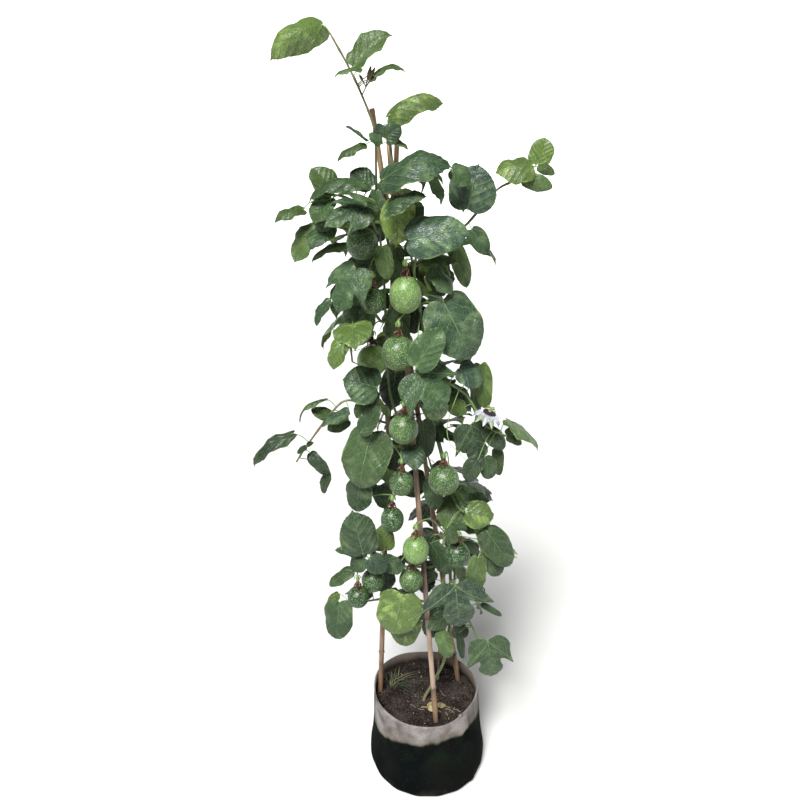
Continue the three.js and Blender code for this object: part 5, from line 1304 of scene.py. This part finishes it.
def leaf_dress(under):
    """The finish of a leaf's upper skin, or of its paler and duller under skin."""

    def dress(tone):
        across, along, lobed = (tone.part("spot", axis) for axis in "XYZ")
        fresh, blotch, shade = (tone.part("tint", axis) for axis in "XYZ")
        away = across.math("ABSOLUTE")
        right = across.math("GREATER_THAN", 0.0)
        # The midrib thins towards the tip. Side veins leave it in turn and curve forward.
        midrib = 1 - (away + 0.02 * along + 0.008 * lobed).between(0.016, 0.044)
        bent = along - away * 0.3 - away * away * 0.1 + (tone.noise(60, 2) - 0.5) * 0.05
        slope = (bent * SIDE_VEINS + right * 0.5).math("FRACT")
        from_vein = (slope - 0.5).math("ABSOLUTE")
        fade = 1 - away.between(0.7, 1.0) * 0.6
        side_veins = (1 - from_vein.between(0.02, 0.065)) * fade
        # A lobed leaf has two more main veins, from its base to the tips of its side lobes.
        off_lobe = along - 0.02 - away * 0.56
        lobe_rib = (1 - off_lobe.math("ABSOLUTE").between(0.006, 0.022)) * lobed
        lobe_vein = ((away - off_lobe * 0.5) * 5.5).math("FRACT")
        lobe_veins = (1 - (lobe_vein - 0.5).math("ABSOLUTE").between(0.03, 0.085)) * fade
        below_lobe = lobed * (1 - off_lobe.between(-0.01, 0.01))
        side_veins = side_veins * (1 - below_lobe) + lobe_veins * below_lobe
        main = midrib.math("MAXIMUM", lobe_rib)
        mesh = {"Vector": tone.place((11, 17, 1), "spot"), "Scale": 1.0}
        net = tone.node("TexVoronoi", {"feature": "DISTANCE_TO_EDGE"}, mesh)
        net_veins = 1 - net.between(0.02, 0.10)
        cloud, mottle = tone.noise(38, 4), tone.noise(240, 3)
        if under:
            colour = coated(
                fresh.between(-0.6, 1.0).blend(paint(82, 112, 70), paint(124, 150, 66)),
                (cloud.between(0.35, 0.7) * 0.5, paint(104, 132, 76)),
            )
            veins, vein_colour = main * 0.6 + side_veins * 0.35, paint(142, 166, 104)
            rough, sink = 0.58, 1.0
        else:
            # From blue-green through leaf green to yellow-green, with paler and darker clouds; the paler
            # ones are partly painted sheen.
            # Beyond each side vein the blade gets a painted highlight, and before it painted shade.
            low = fresh.between(-1.0, 0.0).blend(paint(35, 62, 53), paint(46, 79, 38))
            pillow_highlight = slope.between(0.5, 0.56) * (1 - slope.between(0.6, 0.95))
            pillow_shade = slope.between(0.05, 0.3) * (1 - slope.between(0.42, 0.5))
            patchy = cloud.between(0.35, 0.65)
            colour = coated(
                fresh.between(0.0, 1.0).blend(low, paint(116, 142, 54)),
                # Paler clouds, partly the leaf's own colour and partly painted sheen.
                (cloud.between(0.46, 0.72) * 0.46, paint(146, 176, 120)),
                (mottle.between(0.4, 0.75) * 0.5, paint(22, 42, 24)),
                (tone.noise(430, 2).between(0.5, 0.8) * 0.35, paint(128, 158, 106)),
                # Painted shade on leaves deep in the plant and low down.
                (shade * 0.84, paint(10, 22, 14)),
                (blotch * cloud.between(0.5, 0.66) * (1 - side_veins), paint(148, 170, 76)),
                # Painted highlight and painted shade across each pillow between the side veins.
                (pillow_highlight * patchy * 0.12, paint(142, 168, 112)),
                (pillow_shade * patchy * 0.2, paint(20, 38, 24)),
            )
            veins, vein_colour = main * (0.55 - 0.14 * lobed) + side_veins * 0.28, paint(130, 160, 112)
            rough, sink = 0.31, -1.0
        colour = coated(
            colour,
            (net_veins * 0.16, vein_colour),
            (veins.math("MINIMUM", 1.0), vein_colour),
            (away.between(0.94, 1.0) * (1 - lobed) * 0.5, paint(128, 152, 84)),
        )
        height = (main * 1.4 + side_veins * 1.0 + net_veins * 0.6) * sink + mottle * 0.6 + cloud * 1.2
        height = height - from_vein * sink * 0.7
        return {
            "Base Color": colour,
            "Roughness": rough + 0.14 * cloud + 0.08 * mottle,
            "Normal": height.relief(0.0016),
        }

    return dress


def shoot_dress(tone):
    fresh = tone.part("tint", "X")
    grain, patch = tone.grain(1200, 60), tone.grain(200, 45, 2)
    colour = grain.between(0.3, 0.7).blend(paint(82, 112, 58), paint(112, 140, 76))
    colour = fresh.between(0.0, 1.0).blend(colour, paint(140, 168, 92))
    woody = tone.part("tint", "Y") * patch.between(0.2, 0.5)
    woody = woody.math("MAXIMUM", patch.between(0.55, 0.75) * 0.55)
    return {"Base Color": woody.blend(colour, paint(104, 86, 68)), "Normal": grain.relief(0.0004)}


shoot_green = finish("shoot_green", shoot_dress, Roughness=0.5)
leaf_upper = finish("leaf_upper", leaf_dress(False))
leaf_under = finish("leaf_under", leaf_dress(True))

# Each shoot's stem, then the stalks of its fruits, its tendrils and the budded twig.
shoots = {}
for name, (parent, *_) in SHOOTS.items():
    path = shoot_path(name)
    line = smoothed(path, 6)
    foot = nearest(STEM_LINES[parent], line[0])
    line = np.concatenate([[foot + (line[0] - foot) * 0.2], line])
    share = np.linspace(0, 1, len(line))
    nodes = 0.7 * bell((share * (len(path) - 1)) % 1 - 0.5, 0.1)
    radii = SHOOT_RADIUS * (1.05 - 0.35 * share) + nodes
    radii[:2] += 0.8
    woody = {"top": 0.7, "left_out": 0.95, "right_up": 0.95}.get(name, 0.3)
    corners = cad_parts[f"shoot_{name}"].data.vertices
    shoots[name] = {
        "path": path,
        "line": line,
        "parts": [tube(line, radii, 9, tint=(0, woody, 0))],
        "tips": tree_of([corner.co for corner in corners]),
    }

for row in FRUITS:
    shoots[row[5]]["parts"] += fruit_stalk(row, shoots[row[5]]["line"])

for name, rows in TENDRILS:
    wire = np.array([sight(x, z, y) for x, z, y in rows])
    wire[0] = nearest(shoots[name]["line"], wire[0])
    wire = smoothed(wire, 8)
    shoots[name]["parts"].append(tube(wire, np.linspace(0.8, 0.5, len(wire)), 6, tint=(0.8, 0, 0)))

for rows, end in zip(TWIGS, BUD_ENDS):
    twig = [sight(*row) for row in rows]
    bud = smoothed([twig[-1], sight(*end)], 5)
    shoots["top"]["parts"] += [
        tube(smoothed(twig, 4), 1.2, 7, tint=DRY_WOOD),
        tube(bud, (1.2, 2.4, 2.9, 2.6, 1.6, 0.4), 8, tint=DRY_WOOD),
    ]


def from_canes(spot):
    """How far a spot is from the middle of the three canes, level with it."""
    pole = sum(on_cane(cane, spot[2]) for cane in CANES.values()) / len(CANES)
    return math.hypot(*(spot - pole)[:2])


# Leaves near the canes, up to SHADED_BELOW, get painted shade. Every other leaf gets a random darkening,
# plus painted shade low down, below LOW_SHADE_BELOW, unless its green is given as fresh. The darker counts.
SHADED_BELOW = 1340
LOW_SHADE_BELOW = 900


def add_leaf(name, leaf, fresh=None):
    """Puts a leaf on a shoot, with its own wave, its greens by age and chance, and painted shade deep in
    the plant and low down.
    """
    if leaf is None:
        return
    leaf["phase"] = seeded.uniform(0, 6.28)
    middle = (leaf["base"] + leaf["tip"]) / 2
    deep_in = 1 - np.clip((from_canes(middle) - 40) / 55, 0, 1)
    low_shade = 0.4 if middle[2] < LOW_SHADE_BELOW and (fresh is None or fresh < 0.4) else 0
    leaf["shade"] = max(deep_in if middle[2] < SHADED_BELOW else 0, seeded.uniform(0, 0.5) + low_shade)
    leaf["fresh"] = seeded.normal(0.12, 0.42) if fresh is None else fresh
    leaf["blotch"] = 0.5 if leaf["fresh"] > 0.55 and leaf["wide"] > 50 else 0
    shoots[name]["parts"] += [*leaf_stalk(leaf, shoots[name]["line"]), *leaf_skin(leaf)]


for name, rows in LEAVES.items():
    for row in rows:
        add_leaf(name, free_place(front_places(row), shoots[name]["tips"]), *row[11:])
for name, (_, _, ruled, _) in SHOOTS.items():
    for i in range(ruled):
        places = ruled_places(shoots[name]["path"], i, ruled, name not in LEAVES)
        add_leaf(name, free_place(places, shoots[name]["tips"]))

# Small old leaves fill the inside of the plant, close to the canes, where the others leave room.
# They keep clear of stems and leaves by ROOM, and of fruits, the flower and canes by more.
INNER_TRIES = 150
INNER_REACH = 100
ROOM = 5
FRUIT_ROOM = 17
CANE_ROOM = 9
FLOWER_AT = sight(113, 946, -98)
FLOWER_REACH = 32
round_things = [*(hung(row) for row in FRUITS), (FLOWER_AT, FLOWER_REACH, FLOWER_REACH)]
grown_parts = [part[0] / MM for shoot in shoots.values() for part in shoot["parts"]]
standing = tree_of(np.concatenate([*STEM_LINES.values(), *grown_parts]))
new_leaves = []


def has_room(leaf):
    """Whether a leaf clears all that stands there, and hides no fruit and not the flower."""
    spots = leaf_grid(leaf)[1][::4, ::3].reshape(-1, 3)
    for centre, breadth, height in round_things:
        size = max(breadth, height)
        ahead = unit(centre - EYE)
        beyond = (spots - EYE) @ ahead
        beside = np.linalg.norm(spots - EYE - beyond[:, None] * ahead, axis=1)
        nearer = beyond < np.linalg.norm(centre - EYE) + height
        if np.any(nearer & (beside < size + 1)):
            return False
        if np.any(np.linalg.norm(spots - centre, axis=1) < size + FRUIT_ROOM):
            return False
    for spot in spots:
        if any(math.hypot(*(spot - on_cane(cane, spot[2]))[:2]) < CANE_ROOM for cane in CANES.values()):
            return False
        if standing.find(spot)[2] < ROOM:
            return False
    return all(np.min(np.linalg.norm(spots[:, None] - other, axis=2)) > ROOM for other in new_leaves)


def inner_places(line):
    """The places tried for one inner leaf: all round a spot of its shoot, and ever steeper."""
    at = line[int(draw(0.1, 0.98) * (len(line) - 1))]
    length = draw(42, 74)
    kind = "lobed" if draw(0, 1) < 0.25 else "oval"
    shape = {
        "kind": kind, "light": TOWARDS_LIGHT, "wide": length * draw(0.6, 0.8), "roll": draw(-30, 30),
        "arch": draw(0.04, 0.12), "fold": draw(-18, 10), "phase": 0, "fresh": 0,
    }
    first = draw(0, 360)
    for step in range(24):
        out = level_way(math.radians(first + 45 * step))
        base = at + out * (20 + 5 * (step % 4)) + UP * 4
        tip = base + hang(out, math.radians((20, 50, 75)[step // 8]), length)
        if from_canes(tip) < INNER_REACH and tip[2] > BAG_HEIGHT + 20:
            yield {**shape, "base": base, "tip": tip}


OUTER_SHOOTS = ("top", "crown", "right_up", "left_up", "left_out")
inner_shoots = [name for name in SHOOTS if name not in OUTER_SHOOTS]
for i in range(INNER_TRIES):
    name = inner_shoots[i % len(inner_shoots)]
    leaf = next((leaf for leaf in inner_places(shoots[name]["line"]) if has_room(leaf)), None)
    add_leaf(name, leaf)
    if leaf:
        new_leaves.append(leaf_grid(leaf)[1][::2, ::2].reshape(-1, 3))

# ---- Flower ----
# One open flower hangs at the right on its own stalk. Five white petals and five pale green
# sepals, all pointed, droop under a ring of fine crinkled threads, which is dark purple at its
# middle. On top a green column carries five anthers and three styles.
FLOWER_WAY = unit(np.array((0.3, -0.1, 0.95)))
FLOWER_SIDE = unit(np.cross(FLOWER_WAY, (0, 0, 1)))
FLOWER_FRONT = np.cross(FLOWER_WAY, FLOWER_SIDE)
DISC_SIDES = 40


def about_flower(angle, out, lift):
    """A place so far out from the flower's axis, and so high along it."""
    across = FLOWER_SIDE * math.cos(angle) + FLOWER_FRONT * math.sin(angle)
    return FLOWER_AT + across * out + FLOWER_WAY * lift


neck = about_flower(0, 0, -4.4)
flower_root = nearest(shoots["right_mid"]["line"], neck)
flower_line = smoothed([flower_root, neck - FLOWER_WAY * 9, neck], 8)
flower_radii = np.interp(np.linspace(0, 1, len(flower_line)), (0, 0.5, 0.8, 1), (1.5, 1.8, 2.8, 4.6))
shoots["right_mid"]["parts"].append(tube(flower_line, flower_radii, 10, tint=(0.6, 0, 0)))

# The shoots are made now that the flower's stalk is on its shoot.
for name, shoot in shoots.items():
    greenery = solid(f"leafy_shoot_{name}", shoot["parts"], shoot_green, leaf_upper, leaf_under)
    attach(greenery, "root")
    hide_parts(f"shoot_{name}")


def petal(angle, length, wide, drop, number):
    """One pointed petal or sepal, which droops more and more towards its tip."""
    rows = []
    for step in range(9):
        t = step / 8
        out = 4 + (length - 4) * t
        lift = -2.4 - drop * t**1.5 + 0.5 * math.sin(6 * t + angle)
        rows.append(about_flower(angle, out, lift))
    widths = wide * np.array((0.5, 0.75, 0.92, 1.0, 1.0, 0.92, 0.76, 0.5, 0.12))
    across = about_flower(angle + 0.01, 20, 0) - about_flower(angle - 0.01, 20, 0)
    return ribbon(rows, widths, np.tile(across, (9, 1)), 0.7, number)


def petal_dress(tone):
    vein = tone.noise(900, 3)
    return {
        "Base Color": vein.blend(paint(186, 192, 196), paint(206, 209, 212)),
        "Normal": vein.relief(0.0004),
    }


def sepal_dress(tone):
    cloud = tone.noise(300, 3)
    return {
        "Base Color": cloud.blend(paint(124, 150, 92), paint(164, 180, 140)),
        "Normal": cloud.relief(0.0005),
    }


white_petal = finish("white_petal", petal_dress, Roughness=0.6)
green_sepal = finish("green_sepal", sepal_dress, Roughness=0.6)
petals = [petal(2 * math.pi * i / 5, 30, 10, 15, 0) for i in range(5)]
petals += [petal(2 * math.pi * (i + 0.5) / 5, 29, 11.5, 16.5, 1) for i in range(5)]
flower_petals = solid("flower_petals", petals, white_petal, green_sepal)
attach(flower_petals, "root")
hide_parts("flower_petals")


def thread_dress(tone):
    out = tone.part("spot", "Z")
    crinkle = tone.noise(700, 2)
    edge = (out + crinkle * 0.002).between(0.0088, 0.0112)
    return {"Base Color": edge.blend(paint(40, 22, 52), paint(196, 198, 206))}


def column_dress(tone):
    speck = tone.noise(900, 2)
    return {"Base Color": speck.between(0.55, 0.65).blend(paint(136, 154, 78), paint(92, 64, 74))}


def heart_dress(tone):
    speck = tone.noise(1300, 3)
    return {
        "Base Color": speck.blend(paint(22, 12, 30), paint(50, 28, 60)),
        "Normal": speck.relief(0.0006),
    }


threads = []
for ring, (count, length, lift) in enumerate(((46, 27, 0.6), (38, 24, 1.6))):
    for i in range(count):
        angle = 2 * math.pi * (i + 0.5 * ring) / count + seeded.uniform(-0.03, 0.03)
        line = []
        for step in range(8):
            t = step / 7
            out = 4 + (length - 4) * t * seeded.uniform(0.97, 1.02)
            swing = 0.05 * math.sin(11 * t + i) * t
            high = lift - 11 * t**2.2 + 0.7 * math.sin(13 * t + 2 * i) * t
            line.append(about_flower(angle + swing, out, high))
        threads.append(tube(line, np.linspace(0.5, 0.28, 8), 4))
disc = [(3.0, 1.0), (8.0, 0.9), (11.0, 0.9), (12.6, 1.2), (12.8, 1.8), (11.0, 2.4), (7.0, 2.2), (3.0, 2.6)]
disc_rings = [
    [about_flower(angle, out * (1 + 0.03 * math.sin(20 * angle)), lift) for angle in around(DISC_SIDES)]
    for out, lift in disc
]
column_line = [about_flower(0, 0, lift) for lift in (1, 3, 6, 9, 11, 13)]
column = tube(column_line, (3.2, 2.6, 2.2, 2.4, 3.0, 2.2), 12, 2)


def flower_arm(angle, rows, radii, sides):
    """A green arm on the column, through rows of turn, reach and height about the flower."""
    line = [about_flower(angle + turn, out, lift) for turn, out, lift in rows]
    return tube(smoothed(line, 4), radii, sides, 2)


arms = []
for i in range(5):
    angle = 2 * math.pi * i / 5
    pod_radii = (0.6, 1.1, 1.4, 1.5, 1.5, 1.5, 1.4, 1.1, 0.6)
    arms.append(flower_arm(angle, [(0, 0.8, 9), (0, 5, 9.6), (0, 8.5, 8.4)], 0.8, 7))
    arms.append(flower_arm(angle, [(-0.34, 9, 8.2), (0, 9.8, 7.6), (0.34, 9, 8.2)], pod_radii, 8))
for i in range(3):
    angle = 2 * math.pi * i / 3 + 0.5
    style_radii = (*(0.8,) * 6, 1.1, 1.5, 1.2)
    arms.append(flower_arm(angle, [(0, 0.5, 12), (0, 4, 13), (0, 8, 11.6)], style_radii, 7))
flower_heart = solid(
    "flower_heart",
    [*threads, (*loft(disc_rings), 1), column, *arms],
    finish("flower_threads", thread_dress, Roughness=0.6),
    finish("purple_heart", heart_dress, Roughness=0.7),
    finish("green_column", column_dress, Roughness=0.5),
)
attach(flower_heart, "root")
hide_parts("flower_heart")

# ---- Weeds ----
# A tuft of grass has seeded itself in the soil at the left. Its thin green blades stand up in
# the middle and lie out over the soil to the right and the back. Every fifth one is dead straw.
TUFT_AT = np.array((-68, 38, SOIL_TOP), float)
# The angles between which the upright blades, those to the right and those to the back lie.
BLADE_WAYS = ((0, 6.28), (-0.8, 0.35), (0.9, 2.4))


def blade_of_grass(foot, angle, reach, rise, wide, number):
    """A blade that rises from its foot and bends over outward."""
    way = level_way(angle)
    line = []
    for step in range(9):
        t = step / 8
        high = rise * math.sin(math.pi * 0.62 * t) - 1.5 * (1 - t)
        line.append(foot + way * reach * t**1.25 + UP * high)
    widths = wide * np.array((0.8, 1.0, 1.0, 0.95, 0.9, 0.78, 0.6, 0.38, 0.1))
    sideways = np.tile((-math.sin(angle), math.cos(angle), 0), (9, 1))
    return ribbon(line, widths, sideways, 0.3, number)


def grass_dress(fresh, worn):
    def dress(tone):
        streak = tone.grain(900, 3)
        colour = (tone.part("spot", "Z") * 0.6 + streak * 0.5).between(0.3, 0.9).blend(fresh, worn)
        return {"Base Color": colour, "Normal": streak.relief(0.0003)}

    return dress


weed_parts = []
for i in range(60):
    upright = i % 3 == 0
    angle = seeded.uniform(*BLADE_WAYS[i % 3])
    foot = TUFT_AT + (seeded.uniform(-24, 4), seeded.uniform(-18, 8), 0)
    reach = seeded.uniform(8, 24) if upright else seeded.uniform(26, 84)
    while math.hypot(*(foot + level_way(angle) * reach)[:2]) > RIM_RADIUS - 14:
        reach *= 0.8
    rise = seeded.uniform(10, 30) if upright else seeded.uniform(3, 24)
    wide = seeded.uniform(0.8, 1.8)
    weed_parts.append(blade_of_grass(foot, angle, reach, rise, wide, number=int(i % 5 == 4)))
weeds = solid(
    "weed_tuft",
    weed_parts,
    finish("grass", grass_dress(paint(24, 43, 34), paint(70, 92, 62)), Roughness=0.5),
    finish("straw", grass_dress(paint(140, 128, 94), paint(106, 92, 64)), Roughness=0.8),
)
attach(weeds, "root")
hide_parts("weed_tuft")

# ---- Litter on the soil ----
# One dead leaf, yellow-brown and curled, lies on the soil in front on its dry stalk. Thin bits of
# straw and bare root lie near it, and follow the soil's lumps.
DRY_LEAF_AT = np.array((8, -42, SOIL_TOP + 4.5))
# Each bit has its run over the soil in x and y, how high its middle lies, and its radius.
BITS = [
    ([(-34, -27), (-22, -40), (-12, -45), (-2, -44)], 0.6, 0.7),
    ([(33, 22), (41, 13), (44, 4), (51, -2)], 0.6, 0.6),
    ([(46, -44), (58, -46), (72, -60)], 0.8, 0.7),
    ([(50, -36), (68, -42), (84, -52)], 0.8, 0.6),
    ([(44, -50), (52, -62), (54, -76)], 0.8, 0.7),
    ([(58, -58), (66, -50), (70, -36)], 1.0, 0.6),
]


def dry_dress(tone):
    cloud = tone.noise(120, 4)
    across = tone.part("spot", "X")
    away = across.math("ABSOLUTE")
    rib = 1 - away.between(0.02, 0.06)
    colour = cloud.between(0.35, 0.65).blend(paint(154, 142, 102), paint(112, 96, 66))
    colour = (away.between(0.75, 1.0) * cloud).blend(colour, paint(88, 68, 50))
    return {
        "Base Color": (rib * 0.5).blend(colour, paint(172, 162, 124)),
        "Normal": (cloud + rib * 0.5).relief(0.0009),
    }


dead = {
    "kind": "deep", "base": DRY_LEAF_AT, "tip": DRY_LEAF_AT + (44, 6, 0), "light": UP, "wide": 40,
    "roll": 0, "arch": 0.08, "fold": -4, "phase": 1.0, "fresh": 0, "blotch": 0, "shade": 0,
}
dead_stalk = smoothed([DRY_LEAF_AT + step for step in ((-18, 2, -1.5), (-9, 0, 1), (1, 0, 0))], 5)
dead_skins = [(points, faces, 0, spots, tints) for points, faces, _, spots, tints in leaf_skin(dead)]
dead_finish = finish("dead_leaf", dry_dress, Roughness=0.85)
dry_leaf = solid("dry_leaf", [*dead_skins, tube(dead_stalk, 0.9, 7)], dead_finish)
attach(dry_leaf, "root")
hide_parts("dry_leaf")


def on_soil(rows, lift):
    """A smooth run over the soil, so high above it."""
    return [(x, y, soil_height(x, y) + lift) for x, y in smoothed(rows, 6)]


def root_dress(tone):
    return {"Base Color": tone.noise(400, 3).blend(paint(104, 90, 74), paint(158, 146, 124))}


litter = [tube(on_soil(rows, lift), radius, 6) for rows, lift, radius in BITS]
roots = solid("straw_and_roots", litter, finish("bare_root", root_dress, Roughness=0.9))
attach(roots, "root")
